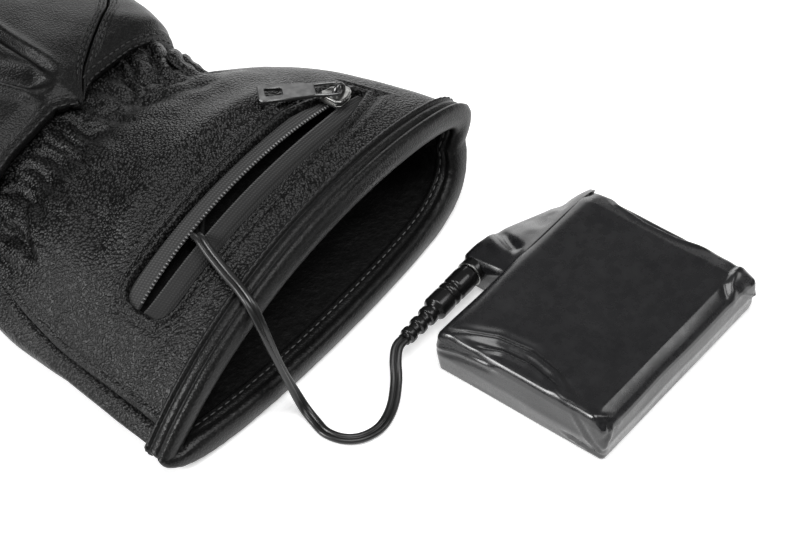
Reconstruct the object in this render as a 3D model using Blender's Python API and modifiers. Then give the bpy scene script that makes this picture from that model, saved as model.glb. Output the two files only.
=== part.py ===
"""A heated leather glove lying palm up, with its battery pack and power lead beside it.

Metres, +Z up. The origin is on the floor under the middle of the cuff. The fingers
point along +Y, the cuff's mouth faces -Y and the thumb is on the -X side.
"""
import math
from collections import namedtuple

import bmesh
import bpy
from mathutils import Matrix, Vector

MM = 0.001
DEGREE = math.pi / 180

# Leather, lining and the clearance between touching pieces
GAP = 0.3 * MM
SEAM = 0.6 * MM
LEATHER = 1.8 * MM
LINING = 1.6 * MM
LINING_EASE = 0.9 * MM
LINING_STRAIGHT = 1.5 * MM
FINGER_WALL = 2.4 * MM

# Cuff
CUFF_FRONT = -34 * MM
CUFF_LENGTH = 88 * MM
MOUTH_HALF = 67 * MM
CUFF_HEIGHT = 42 * MM
LOWER_LIP = 8 * MM
MOUTH_SKEW = 2.5 * MM
GATHERS = 13
GATHER_DEPTH = 2.2 * MM
CUFF_THUMB_SEAM = 170 * DEGREE
CUFF_LITTLE_SEAM = 8 * DEGREE
POCKET_DEPTH = 9 * MM
POCKET_END = 0.85
POCKET_MOUTH_SLOPE = 0.12
POCKET_WRIST_SLOPE = 0.25

# Binding round the mouth
BINDING = 0.9 * MM
BINDING_EASE = 0.55 * MM
BINDING_OUTSIDE = 6.5 * MM
BINDING_INSIDE = 4.5 * MM

# Hand
HAND_OVERLAP = 7 * MM
HAND_FRONT = CUFF_FRONT + CUFF_LENGTH - HAND_OVERLAP
HAND_LENGTH = 93 * MM
HAND_HALF = 57 * MM
HAND_HEIGHT = 42 * MM
HEEL_LENGTH = 52 * MM
HEEL_POINT = 88 * DEGREE
THUMB_HOLE_START = 20 * MM
THUMB_HOLE_LENGTH = 40 * MM
THUMB_HOLE_SPREAD = 42 * DEGREE
THUMB_LENGTH = 70 * MM
THUMB_HALF = 16 * MM
THUMB_SPLAY = 28 * DEGREE
THUMB_COLLAR = 2.5 * MM
THUMB_LIFT = 0.3 * MM
FINGER_LENGTH = 79 * MM
FINGER_HEIGHT = 30 * MM
FINGER_CURL = 15 * MM

# Zip of the battery pocket
WINDOW_START = 17.5 * MM
WINDOW_WIDTH = 13.8 * MM
WINDOW_LITTLE_END = 53 * DEGREE
WINDOW_THUMB_END = 145.6 * DEGREE
TAPE = 1.0 * MM
TAPE_HIDDEN = 4 * MM
ZIP_OPENING = 5.2 * MM
ZIP_CLOSED_GAP = 1.6 * MM
ZIP_LINE = 7.4 * MM
COIL_DIAMETER = 1.5 * MM
SLIDER_ANGLE = 63.5 * DEGREE
SLIDER_LENGTH = 8.6 * MM
SLIDER_WIDTH = 7.2 * MM
SLIDER_THICKNESS = 2.6 * MM
SLIDER_NOSE = 0.62
BRIDGE_LENGTH = 5.2 * MM
BRIDGE_WIDTH = 1.2 * MM
BRIDGE_HEIGHT = 3.2 * MM
PULL_LENGTH = 23 * MM
PULL_YOKE = 6.5 * MM
PULL_WIDTH = 7.8 * MM
PULL_THICKNESS = 1.1 * MM
PULL_BAR = 1.1 * MM
PULL_ARM = 1.0 * MM
PULL_WINDOW_LENGTH = 4.2 * MM
PULL_WINDOW_WIDTH = 2.8 * MM
PULL_RIM = 1.9 * MM
PULL_TURN = 44 * DEGREE
PULL_DIP = 7 * DEGREE

# Battery pack, socket, plug and lead
BATTERY_LENGTH = 73 * MM
BATTERY_WIDTH = 56 * MM
BATTERY_HEIGHT = 15 * MM
BATTERY_CORNER = (4.5 * MM, -124.5 * MM)
BATTERY_CORNER_RADIUS = 4 * MM
COVER_LENGTH = 37 * MM
COVER_WIDTH = 12.5 * MM
COVER_TAPER = 8 * MM
COVER_HEIGHT = 12 * MM
COVER_CORNER_RADIUS = 2 * MM
SOCKET_DIAMETER = 8.4 * MM
SOCKET_LENGTH = 7 * MM
PLUG_HEIGHT = 7 * MM
PLUG_TURN = 2.0 * DEGREE
BARREL_DIAMETER = 7.2 * MM
BARREL_LENGTH = 17 * MM
RELIEF_DIAMETER = 5.6 * MM
RELIEF_LENGTH = 13 * MM
RELIEF_RIBS = 3
CORD_DIAMETER = 2.8 * MM

Section = namedtuple("Section", "along centre half lean crown thumb_side little_side lift pinch gather")
Form = namedtuple("Form", "sections front length half height lip skew")
Finger = namedtuple("Finger", "name width length splay rise")
Ring = namedtuple("Ring", "along width height roundness")
ThumbRing = namedtuple("ThumbRing", "turn along size")

# Each row is one cross-section: along is a share of the length, centre, half and lean are
# shares of the half width, the heights are shares of the height, pinch bends the thumb side
CUFF = Form([
    Section(0.000, -0.018, 0.985, 0.27, 0.948, 0.15, 0.43, 0.052, 1.20, 0.00),
    Section(0.091, -0.018, 0.970, 0.27, 0.970, 0.15, 0.43, 0.038, 1.20, 0.00),
    Section(0.216, -0.030, 0.945, 0.24, 0.990, 0.17, 0.43, 0.000, 1.15, 0.00),
    Section(0.443, -0.055, 0.890, 0.19, 1.010, 0.19, 0.43, 0.000, 1.10, 0.00),
    Section(0.636, -0.080, 0.810, 0.13, 0.968, 0.22, 0.40, 0.000, 1.00, 0.12),
    Section(0.750, -0.100, 0.740, 0.10, 0.893, 0.25, 0.38, 0.030, 0.95, 0.60),
    Section(0.830, -0.108, 0.695, 0.09, 0.820, 0.28, 0.36, 0.080, 0.90, 1.00),
    Section(0.909, -0.110, 0.660, 0.09, 0.826, 0.30, 0.36, 0.130, 0.90, 1.00),
    Section(1.000, -0.115, 0.640, 0.09, 0.820, 0.31, 0.36, 0.150, 0.90, 0.70),
], CUFF_FRONT, CUFF_LENGTH, MOUTH_HALF, CUFF_HEIGHT, LOWER_LIP, MOUTH_SKEW)

HAND = Form([
    Section(0.000, -0.160, 0.895, 0.105, 0.890, 0.320, 0.38, 0.0, 0.90, 0.0),
    Section(0.070, -0.145, 0.920, 0.100, 0.965, 0.330, 0.38, 0.0, 0.88, 0.0),
    Section(0.270, -0.115, 0.970, 0.070, 1.005, 0.360, 0.38, 0.0, 0.82, 0.0),
    Section(0.677, -0.060, 1.000, 0.020, 0.930, 0.380, 0.38, 0.0, 0.80, 0.0),
    Section(1.000, -0.053, 0.982, 0.000, 0.810, 0.357, 0.36, 0.0, 0.80, 0.0),
], HAND_FRONT, HAND_LENGTH, HAND_HALF, HAND_HEIGHT, 0.0, 0.0)

# From the thumb side to the little side: width as a share of the hand's full width, length
# as a share of the longest finger's
FINGERS = [
    Finger("index_finger", 0.250, 0.886, -4 * DEGREE, 0.90),
    Finger("middle_finger", 0.255, 1.000, -1 * DEGREE, 1.00),
    Finger("ring_finger", 0.250, 0.911, 2 * DEGREE, 0.95),
    Finger("little_finger", 0.232, 0.709, 6 * DEGREE, 0.80),
]

# Shares of a finger's length, width and height from its root to its tip
FINGER_RINGS = [
    Ring(0.00, 0.96, 1.00, 2.8),
    Ring(0.18, 0.98, 0.96, 2.5),
    Ring(0.45, 0.95, 0.90, 2.2),
    Ring(0.72, 0.92, 0.86, 2.1),
    Ring(0.88, 0.82, 0.76, 2.0),
    Ring(0.96, 0.58, 0.54, 2.0),
    Ring(0.99, 0.34, 0.32, 2.0),
]

# How far each ring has turned from the hand's side to the thumb's heading, its place as a
# share of the thumb's length, and its size as a share of the thumb's half width
THUMB_RINGS = [
    ThumbRing(0.55, 0.20, 1.10),
    ThumbRing(1.00, 0.42, 1.00),
    ThumbRing(1.00, 0.62, 0.95),
    ThumbRing(1.00, 0.80, 0.88),
    ThumbRing(1.00, 0.92, 0.70),
    ThumbRing(1.00, 0.985, 0.40),
]

# The lead's route, chosen point by point, from inside the pocket to the plug
CORD_ROUTE = [
    (-2.0, 3.0, 33.4), (-9.0, -1.0, 33.2), (-16.0, -5.5, 32.6), (-20.5, -9.2, 32.8),
    (-22.2, -10.4, 34.8), (-23.2, -11.2, 37.0), (-24.6, -13.8, 38.3), (-26.3, -18.8, 37.2),
    (-28.2, -25.5, 35.9),
    (-29.9, -31.5, 35.3), (-31.6, -36.8, 33.8), (-32.5, -40.6, 29.6), (-32.3, -43.6, 23.0),
    (-31.0, -46.2, 14.6), (-29.6, -48.6, 7.4), (-29.4, -51.8, 3.0), (-30.4, -56.2, 1.6),
    (-31.6, -61.0, 1.5), (-30.4, -66.0, 1.5), (-26.8, -69.6, 1.5), (-21.0, -71.0, 1.5),
    (-14.0, -69.2, 1.6), (-7.4, -65.4, 3.0), (-3.2, -61.9, 5.6),
]
PLUG_START = (3.0 * MM, -60.0 * MM, PLUG_HEIGHT)

# Shape of a cross-section
LITTLE_POWER = 0.85
FLAT_FROM = 0.8
FLANK_POWER = 1.8
LIP_FADE = 3


def mix(start, end, share):
    return start + (end - start) * share


def smooth_value(rows, column, along):
    """Read one column of a table along a smooth curve that never overshoots its rows."""
    places = [row.along for row in rows]
    values = [getattr(row, column) for row in rows]
    along = min(max(along, places[0]), places[-1])
    left = max(i for i in range(len(places) - 1) if places[i] <= along)
    slopes = [
        (values[i + 1] - values[i]) / (places[i + 1] - places[i])
        for i in range(len(places) - 1)
    ]

    def tangent(i):
        if i == 0:
            return slopes[0]
        if i == len(slopes):
            return slopes[-1]
        before, after = slopes[i - 1], slopes[i]
        return 0.0 if before * after <= 0 else 2 * before * after / (before + after)

    width = places[left + 1] - places[left]
    t = (along - places[left]) / width
    start = (2 * t ** 3 - 3 * t ** 2 + 1) * values[left]
    end = (3 * t ** 2 - 2 * t ** 3) * values[left + 1]
    leaving = (t ** 3 - 2 * t ** 2 + t) * tangent(left) * width
    arriving = (t ** 3 - t ** 2) * tangent(left + 1) * width
    return start + end + leaving + arriving


def section_at(form, along):
    """The cross-section at a share of the form's length."""
    columns = (smooth_value(form.sections, column, along) for column in Section._fields[1:])
    return Section(along, *columns)


def form_point(form, along, angle, inset=0.0, gathered=True):
    """A point of a form: 0 degrees is the little finger's side, 90 the top, 180 the thumb's."""
    row = section_at(form, along)
    cosine, sine = math.cos(angle), math.sin(angle)
    if gathered:
        slack = max(0.0, min(1.0, 1 + sine / FLAT_FROM))
        inset += GATHER_DEPTH * row.gather * slack * (0.5 - 0.5 * math.cos(2 * GATHERS * angle))
    half = row.half * form.half - inset
    side = mix(row.thumb_side, row.little_side, (1 + cosine) / 2) * form.height
    floor = row.lift * form.height + inset
    x = row.centre * form.half + half * cosine + row.lean * form.half * max(0.0, sine)
    if sine >= 0:
        power = mix(row.pinch, LITTLE_POWER, (1 + cosine) / 2)
        z = side + (row.crown * form.height - inset - side) * sine ** power
    else:
        z = floor + (side - floor) * max(0.0, 1 + sine / FLAT_FROM) ** FLANK_POWER
    y = form.front + along * form.length
    mouth_end = max(0.0, 1 - along) ** LIP_FADE
    y += (form.skew * cosine - form.lip * max(0.0, -sine)) * mouth_end
    return Vector((x, y, z))


def spread(stops, step):
    """Values that pass through every stop, no further apart than the step."""
    values = [stops[0]]
    for start, end in zip(stops, stops[1:]):
        count = max(1, math.ceil(abs(end - start) / step - 1e-6))
        values += [mix(start, end, (i + 1) / count) for i in range(count)]
    return values


def make_material(name, colour, roughness, metallic=0.0):
    material = bpy.data.materials.new(name)
    material.use_nodes = True
    shader = material.node_tree.nodes["Principled BSDF"]
    shader.inputs["Base Color"].default_value = (*colour, 1.0)
    shader.inputs["Roughness"].default_value = roughness
    shader.inputs["Metallic"].default_value = metallic
    return material


def make_object(name, mesh, material, collection, smooth_angle=40 * DEGREE):
    """Place a mesh in the glove's collection as one named piece."""
    piece = bpy.data.objects.new(name, mesh)
    collection.objects.link(piece)
    mesh.materials.clear()
    mesh.materials.append(material)
    mesh.shade_smooth()
    mesh.set_sharp_from_angle(angle=smooth_angle)
    return piece


def loft(name, rings, closed=True, caps=False, skip=None):
    """A surface through rings of points, with the faces that skip names left out."""
    mesh = bpy.data.meshes.new(name)
    shape = bmesh.new()
    rows = [[shape.verts.new(point) for point in ring] for ring in rings]
    around = len(rings[0])
    for i in range(len(rows) - 1):
        for j in range(around if closed else around - 1):
            if skip and skip(i, j):
                continue
            k = (j + 1) % around
            shape.faces.new((rows[i][j], rows[i + 1][j], rows[i + 1][k], rows[i][k]))
    if caps:
        shape.faces.new(reversed(rows[0]))
        shape.faces.new(rows[-1])
    loose = [vertex for vertex in shape.verts if not vertex.link_faces]
    bmesh.ops.delete(shape, geom=loose, context="VERTS")
    shape.to_mesh(mesh)
    shape.free()
    return mesh


def wall(name, outer, inner, closed=False, skip=None):
    """A closed wall between two lofted surfaces, with a rim along every free edge."""
    mesh = bpy.data.meshes.new(name)
    shape = bmesh.new()
    sides = [[[shape.verts.new(point) for point in ring] for ring in rings]
             for rings in (outer, inner)]
    around = len(outer[0])
    for i in range(len(outer) - 1):
        for j in range(around if closed else around - 1):
            if skip and skip(i, j):
                continue
            k = (j + 1) % around
            cell = ((i, j), (i + 1, j), (i + 1, k), (i, k))
            shape.faces.new([sides[0][a][b] for a, b in cell])
            shape.faces.new([sides[1][a][b] for a, b in reversed(cell)])
    opposite = {}
    for ring_out, ring_in in zip(*sides):
        for a, b in zip(ring_out, ring_in):
            opposite[a] = b
    for edge in [edge for edge in shape.edges if edge.is_boundary and edge.verts[0] in opposite]:
        loop = edge.link_loops[0]
        a, b = loop.vert, loop.link_loop_next.vert
        shape.faces.new((b, a, opposite[a], opposite[b]))
    loose = [vertex for vertex in shape.verts if not vertex.link_faces]
    bmesh.ops.delete(shape, geom=loose, context="VERTS")
    shape.to_mesh(mesh)
    shape.free()
    return mesh


def thicken(piece, thickness):
    """Give an open surface a wall on its inner side."""
    wall = piece.modifiers.new("wall", "SOLIDIFY")
    wall.thickness = thickness
    wall.offset = -1.0
    wall.use_even_offset = True


def turned(name, profile, steps, material, collection):
    """A solid turned about Z from (radius, height) pairs listed from top to bottom."""
    mesh = bpy.data.meshes.new(name)
    edges = [(i, i + 1) for i in range(len(profile) - 1)]
    mesh.from_pydata([(radius, 0.0, height) for radius, height in profile], edges, [])
    piece = make_object(name, mesh, material, collection)
    screw = piece.modifiers.new("turn", "SCREW")
    screw.steps = steps
    screw.render_steps = steps
    screw.use_merge_vertices = True
    screw.merge_threshold = 0.01 * MM
    return piece


def tube(name, points, diameter, resolution, material, collection):
    """A closed tube of a curve that passes through the points."""
    curve = bpy.data.curves.new(name, "CURVE")
    curve.dimensions = "3D"
    curve.bevel_depth = diameter / 2
    curve.bevel_resolution = resolution
    curve.use_fill_caps = True
    spline = curve.splines.new("POLY")
    spline.points.add(len(points) - 1)
    for place, point in zip(spline.points, points):
        place.co = (*point, 1.0)
    piece = bpy.data.objects.new(name, curve)
    curve.materials.append(material)
    collection.objects.link(piece)
    return piece


def box_mesh(name, size, centre=(0, 0, 0)):
    """A box primitive of a size about a centre."""
    mesh = bpy.data.meshes.new(name)
    shape = bmesh.new()
    bmesh.ops.create_cube(shape, size=1.0)
    bmesh.ops.scale(shape, vec=size, verts=shape.verts)
    bmesh.ops.translate(shape, vec=centre, verts=shape.verts)
    shape.to_mesh(mesh)
    shape.free()
    return mesh


def round_edges(piece, width, segments):
    bevel = piece.modifiers.new("round", "BEVEL")
    bevel.width = width
    bevel.segments = segments
    bevel.limit_method = "ANGLE"


def combine(piece, others, operation, cutters):
    """Join or cut a piece with helper objects that the model then hides."""
    for other in others:
        step = piece.modifiers.new(operation.lower(), "BOOLEAN")
        step.operation = operation
        step.solver = "EXACT"
        step.object = other
        other.display_type = "WIRE"
        other.hide_render = True
        for owner in list(other.users_collection):
            owner.objects.unlink(other)
        cutters.objects.link(other)


def smooth_route(points, spacing):
    """Evenly spaced points on a smooth curve through the route's own points."""
    points = [Vector(point) for point in points]
    ends = [2 * points[0] - points[1]] + points + [2 * points[-1] - points[-2]]
    fine = []
    for a, b, c, d in zip(ends, ends[1:], ends[2:], ends[3:]):
        for i in range(20):
            t = i / 20
            fine.append(0.5 * (2 * b + (c - a) * t + (2 * a - 5 * b + 4 * c - d) * t * t
                               + (3 * b - a - 3 * c + d) * t ** 3))
    fine.append(points[-1])
    travelled = [0.0]
    for a, b in zip(fine, fine[1:]):
        travelled.append(travelled[-1] + (b - a).length)
    count = max(2, round(travelled[-1] / spacing))
    even, k = [], 0
    for i in range(count + 1):
        target = travelled[-1] * i / count
        while k < len(fine) - 2 and travelled[k + 1] < target:
            k += 1
        share = (target - travelled[k]) / max(travelled[k + 1] - travelled[k], 1e-9)
        even.append(fine[k].lerp(fine[k + 1], min(1.0, share)))
    return even


def window_edges():
    """Shares of the cuff's length at the zip window's two long edges."""
    start = WINDOW_START / CUFF_LENGTH
    return start, start + WINDOW_WIDTH / CUFF_LENGTH


def make_cuff_palm(leather, collection):
    """The upper leather of the cuff, gathered at the wrist, with the zip's window."""
    start, end = window_edges()
    alongs = spread([0, start, end, 0.6, 0.70, 1.0], 0.1)
    angles = spread([CUFF_LITTLE_SEAM, WINDOW_LITTLE_END, WINDOW_THUMB_END, CUFF_THUMB_SEAM],
                    math.pi / GATHERS / 4)

    def in_window(i, j):
        along = (alongs[i] + alongs[i + 1]) / 2
        angle = (angles[j] + angles[j + 1]) / 2
        return start < along < end and WINDOW_LITTLE_END < angle < WINDOW_THUMB_END

    outer = [[form_point(CUFF, along, angle) for angle in angles] for along in alongs]
    inner = [[form_point(CUFF, along, angle, LEATHER) for angle in angles] for along in alongs]
    mesh = wall("cuff_palm_panel", outer, inner, skip=in_window)
    make_object("cuff_palm_panel", mesh, leather, collection)


def make_cuff_back(leather, collection):
    """The lower leather of the cuff, flat where it lies on the floor."""
    seam_gap = 2 * SEAM / MOUTH_HALF
    angles = spread([CUFF_THUMB_SEAM + seam_gap, 233 * DEGREE, 307 * DEGREE,
                     360 * DEGREE + CUFF_LITTLE_SEAM - seam_gap], 7.5 * DEGREE)
    alongs = spread([0, 0.091, 0.216, 0.636, 0.75, 0.83, 1.0], 0.15)
    outer = [[form_point(CUFF, along, angle) for angle in angles] for along in alongs]
    inner = [[form_point(CUFF, along, angle, LEATHER) for angle in angles] for along in alongs]
    mesh = wall("cuff_back_panel", outer, inner)
    make_object("cuff_back_panel", mesh, leather, collection)


def lining_inset(along, angle):
    """How far the lining hangs inside the leather: deep where the pocket is."""
    band = (BINDING_INSIDE + LINING_STRAIGHT) / CUFF_LENGTH
    near_mouth = min(1.0, max(0.0, along - band) / POCKET_MOUTH_SLOPE)
    near_wrist = max(0.0, min(1.0, (POCKET_END - along) / POCKET_WRIST_SLOPE))
    pocket = POCKET_DEPTH * near_mouth * near_wrist * max(0.0, math.sin(angle)) ** 2
    return LEATHER + LINING_EASE + pocket + GATHER_DEPTH * section_at(CUFF, along).gather


def make_lining(fleece, collection):
    """The fleece tube inside the cuff, with the battery pocket above it."""
    angles = spread([0, 2 * math.pi], 12 * DEGREE)[:-1]
    straight = (BINDING_INSIDE + LINING_STRAIGHT) / CUFF_LENGTH
    alongs = [0.012, straight, 0.2, 0.4, 0.6, 0.75, 0.86, 0.97]
    outer, inner = [
        [[form_point(CUFF, along, angle, lining_inset(along, angle) + depth, False)
          for angle in angles] for along in alongs]
        for depth in (0, LINING)
    ]
    make_object("cuff_lining", wall("cuff_lining", outer, inner, closed=True), fleece, collection)


def make_binding(leather, collection):
    """The folded strip that wraps the mouth's edge, as one closed ring."""
    front = -BINDING_EASE
    outside = -BINDING_EASE
    inside = LEATHER + LINING_EASE + LINING + BINDING_EASE
    profile = [
        (BINDING_OUTSIDE, outside - BINDING),
        (0.2 * BINDING_OUTSIDE, outside - BINDING),
        (front - 0.7 * BINDING, 0.0),
        (front - 1.4 * BINDING, inside / 2),
        (front - 0.7 * BINDING, inside),
        (0.2 * BINDING_INSIDE, inside + BINDING),
        (BINDING_INSIDE, inside + BINDING),
        (BINDING_INSIDE, inside),
        (front, inside),
        (front, outside),
        (BINDING_OUTSIDE, outside),
    ]
    angles = spread([0, 2 * math.pi], 10 * DEGREE)[:-1]
    rings = []
    for angle in angles:
        edge = form_point(CUFF, 0, angle, 0, False)
        travel = (form_point(CUFF, 0.05, angle, 0, False) - edge).normalized()
        ring = []
        for depth, inset in profile:
            point = form_point(CUFF, max(0, depth) / CUFF_LENGTH, angle, inset, False)
            ring.append(point + travel * min(0, depth))
        rings.append(ring)
    rings.append(rings[0])
    mesh = loft("mouth_binding", rings)
    weld_and_turn(mesh)
    make_object("mouth_binding", mesh, leather, collection)


def weld_and_turn(mesh):
    """Merge doubled points and turn every face outwards."""
    shape = bmesh.new()
    shape.from_mesh(mesh)
    bmesh.ops.remove_doubles(shape, verts=shape.verts, dist=0.001 * MM)
    bmesh.ops.recalc_face_normals(shape, faces=shape.faces)
    if shape.calc_volume(signed=True) < 0:
        bmesh.ops.reverse_faces(shape, faces=shape.faces)
    shape.to_mesh(mesh)
    shape.free()


def heel_edge(along):
    """The angle of the seam between the palm and the heel piece."""
    share = min(1.0, along * HAND_LENGTH / HEEL_LENGTH)
    return mix(HEEL_POINT, 3 * DEGREE, share)


def in_thumb_hole(along, angle):
    start = THUMB_HOLE_START / HAND_LENGTH
    end = start + THUMB_HOLE_LENGTH / HAND_LENGTH
    return start < along < end and abs(angle - math.pi) < THUMB_HOLE_SPREAD


def hand_panel(name, alongs, angles_at, leather, collection):
    """One leather piece of the hand between two seams, open where the thumb joins."""
    rows = [angles_at(along) for along in alongs]

    def in_hole(i, j):
        along = (alongs[i] + alongs[i + 1]) / 2
        corners = (rows[i][j], rows[i][j + 1], rows[i + 1][j], rows[i + 1][j + 1])
        return in_thumb_hole(along, sum(corners) / 4)

    outer, inner = [
        [[form_point(HAND, along, angle, depth) for angle in angles]
         for along, angles in zip(alongs, rows)]
        for depth in (0, LEATHER)
    ]
    make_object(name, wall(name, outer, inner, skip=in_hole), leather, collection)


def make_hand(leather, collection):
    """Palm, heel and back of the hand."""
    seam = GAP / HAND_HALF
    start = THUMB_HOLE_START / HAND_LENGTH
    end = start + THUMB_HOLE_LENGTH / HAND_LENGTH
    heel_end = HEEL_LENGTH / HAND_LENGTH
    alongs = spread([0, 0.07, start, end, 1.0], 0.12)
    hole_top = math.pi - THUMB_HOLE_SPREAD

    def palm_angles(along):
        first = heel_edge(along) + seam
        return [mix(first, hole_top, i / 12) for i in range(13)] + [
            mix(hole_top, math.pi - seam, (i + 1) / 4) for i in range(4)]

    def heel_angles(along):
        return [mix(seam, heel_edge(along) - seam, i / 8) for i in range(9)]

    def back_angles(along):
        hole_bottom = math.pi + THUMB_HOLE_SPREAD
        return spread([math.pi + seam, hole_bottom, 233 * DEGREE, 307 * DEGREE,
                       2 * math.pi - seam], 12 * DEGREE)

    hand_panel("palm_panel", alongs, palm_angles, leather, collection)
    heel_alongs = [heel_end * share for share in (0, 0.13, 0.3, 0.5, 0.7, 0.85, 0.96)]
    hand_panel("heel_panel", heel_alongs, heel_angles, leather, collection)
    hand_panel("back_panel", alongs, back_angles, leather, collection)


def oval(centre, across, upright, half_width, half_height, roundness, count=16):
    """A ring of points on a rounded rectangle."""
    ring = []
    for i in range(count):
        angle = 2 * math.pi * i / count
        cosine, sine = math.cos(angle), math.sin(angle)
        u = math.copysign(abs(cosine) ** (2 / roundness), cosine) * half_width
        v = math.copysign(abs(sine) ** (2 / roundness), sine) * half_height
        ring.append(centre + across * u + upright * v)
    return ring


def close_tip(mesh):
    """Fill the last open ring of a finger and leave its root open."""
    shape = bmesh.new()
    shape.from_mesh(mesh)
    edges = [edge for edge in shape.edges if edge.is_boundary]
    tip = max(edges, key=lambda edge: (edge.verts[0].index + edge.verts[1].index))
    ring = {tip}
    growing = True
    while growing:
        found = {
            other for edge in ring for vertex in edge.verts
            for other in vertex.link_edges if other.is_boundary
        }
        growing = not found <= ring
        ring |= found
    filled = bmesh.ops.contextual_create(shape, geom=list(ring))["faces"]
    bmesh.ops.poke(shape, faces=filled)
    bmesh.ops.recalc_face_normals(shape, faces=shape.faces)
    shape.to_mesh(mesh)
    shape.free()


def make_fingers(leather, collection):
    """Four closed tubes side by side at the end of the palm."""
    root = HAND_FRONT + HAND_LENGTH + 2 * GAP
    row = section_at(HAND, 1.0)
    total = sum(finger.width for finger in FINGERS)
    left = (row.centre - row.half) * HAND_HALF
    for finger in FINGERS:
        width = 2 * HAND_HALF * row.half * finger.width / total - GAP
        centre_x = left + (width + GAP) / 2
        left += width + GAP
        length = finger.length * FINGER_LENGTH
        rings = []
        for ring in FINGER_RINGS:
            reach = length * ring.along
            lift = FINGER_CURL * finger.rise * ring.along ** 2
            height = FINGER_HEIGHT * ring.height
            bend = math.atan(2 * FINGER_CURL * finger.rise * ring.along / length)
            turn = finger.splay * min(1.0, 4 * ring.along)
            centre = Vector((centre_x + math.sin(turn) * reach, root + math.cos(turn) * reach,
                             lift + height / 2))
            across = Vector((math.cos(turn), -math.sin(turn), 0))
            upright = Vector((0, -math.sin(bend), math.cos(bend)))
            rings.append(oval(centre, across, upright, width * ring.width / 2, height / 2,
                              ring.roundness))
        mesh = loft(finger.name, rings)
        close_tip(mesh)
        thicken(make_object(finger.name, mesh, leather, collection), FINGER_WALL)


def make_thumb(leather, collection):
    """The thumb, lofted from the opening in the hand's side to a round tip."""
    start = THUMB_HOLE_START / HAND_LENGTH
    length = THUMB_HOLE_LENGTH / HAND_LENGTH
    margin = 1.5 * GAP
    count = 16
    base = []
    for i in range(count):
        angle = 2 * math.pi * i / count
        cosine, sine = math.cos(angle), math.sin(angle)
        reach = 1 / max(abs(cosine), abs(sine))
        squareness = mix(1.0, reach, 0.9)
        along = start + length / 2 + (length / 2 - margin / HAND_LENGTH) * cosine * squareness
        spread_angle = THUMB_HOLE_SPREAD - margin / (HAND_HEIGHT / 2)
        base.append(form_point(HAND, along, math.pi - spread_angle * sine * squareness))
    middle = sum(base, Vector()) / count
    collar_x = min(point.x for point in base) - THUMB_COLLAR
    collar = [
        Vector((collar_x, mix(middle.y, point.y, 0.96), mix(THUMB_LIFT, point.z, 0.93)))
        for point in base
    ]
    heading = Vector((-math.sin(THUMB_SPLAY), math.cos(THUMB_SPLAY), 0))
    across = Vector((math.cos(THUMB_SPLAY), math.sin(THUMB_SPLAY), 0))
    hub = Vector((collar_x, middle.y, middle.z)) - across * THUMB_HALF * 0.55
    rings = [base, collar]
    for ring in THUMB_RINGS:
        facing = (heading * ring.turn - across * (1 - ring.turn)).normalized()
        sideways = Vector((facing.y, -facing.x, 0))
        centre = hub + heading * THUMB_LENGTH * ring.along
        height = THUMB_HALF * ring.size
        centre.z = max(centre.z, height + THUMB_LIFT)
        rings.append(oval(centre, sideways, Vector((0, 0, 1)), THUMB_HALF * ring.size, height,
                          2.1, count))
    rings = align_rings(rings)
    mesh = loft("thumb", rings)
    close_tip(mesh)
    thicken(make_object("thumb", mesh, leather, collection), FINGER_WALL)


def align_rings(rings):
    """Turn each ring's numbering so that neighbouring rings face each other point by point."""
    aligned = [rings[0]]
    for ring in rings[1:]:
        last = aligned[-1]
        options = []
        for points in (ring, ring[::-1]):
            for shift in range(len(points)):
                turned_ring = points[shift:] + points[:shift]
                distance = sum((a - b).length for a, b in zip(last, turned_ring))
                options.append((distance, turned_ring))
        aligned.append(min(options, key=lambda option: option[0])[1])
    return aligned


def zip_share(angle):
    """0 at the zip's thumb end, 1 at the slider."""
    return (WINDOW_THUMB_END - angle) / (WINDOW_THUMB_END - SLIDER_ANGLE)


def tape_edge(angle, side):
    """Distance behind the mouth's edge of a tape's toothed edge; side is -1 towards the mouth."""
    share = min(1.0, max(0.0, zip_share(angle)))
    opening = mix(ZIP_CLOSED_GAP, ZIP_OPENING, math.sin(math.pi * share) ** 0.7)
    middle = WINDOW_START + ZIP_LINE - 0.35 * (opening - ZIP_CLOSED_GAP)
    return middle + side * opening / 2


def cuff_surface(behind, angle, inset):
    return form_point(CUFF, behind / CUFF_LENGTH, angle, inset, False)


def make_zip_tapes(tape_material, coil_material, collection):
    """The two woven tapes under the window's edges, each with its row of teeth."""
    under = LEATHER + GAP
    end_overlap = 3 * MM / MOUTH_HALF
    angles = spread([WINDOW_LITTLE_END - end_overlap, WINDOW_THUMB_END + end_overlap], 3.6 * DEGREE)
    for name, side in (("mouth_side", -1), ("wrist_side", 1)):
        outer = WINDOW_START - TAPE_HIDDEN
        if side > 0:
            outer = WINDOW_START + WINDOW_WIDTH + TAPE_HIDDEN
        rings = []
        for share in (0.0, 0.5, 1.0):
            ring = []
            for angle in angles:
                behind = mix(tape_edge(angle, side), outer, share)
                ring.append(cuff_surface(behind, angle, under))
            rings.append(ring)
        if side < 0:
            rings.reverse()
        mesh = loft("zip_tape_" + name, rings, closed=False)
        thicken(make_object("zip_tape_" + name, mesh, tape_material, collection), TAPE)

        teeth = []
        for angle in spread([WINDOW_LITTLE_END + 3 * DEGREE, WINDOW_THUMB_END - 1 * DEGREE],
                            4 * DEGREE):
            behind = tape_edge(angle, side) + side * COIL_DIAMETER * 0.6
            teeth.append(cuff_surface(behind, angle, under - GAP - COIL_DIAMETER / 2))
        tube("zip_teeth_" + name, teeth, COIL_DIAMETER, 1, coil_material, collection)


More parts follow.
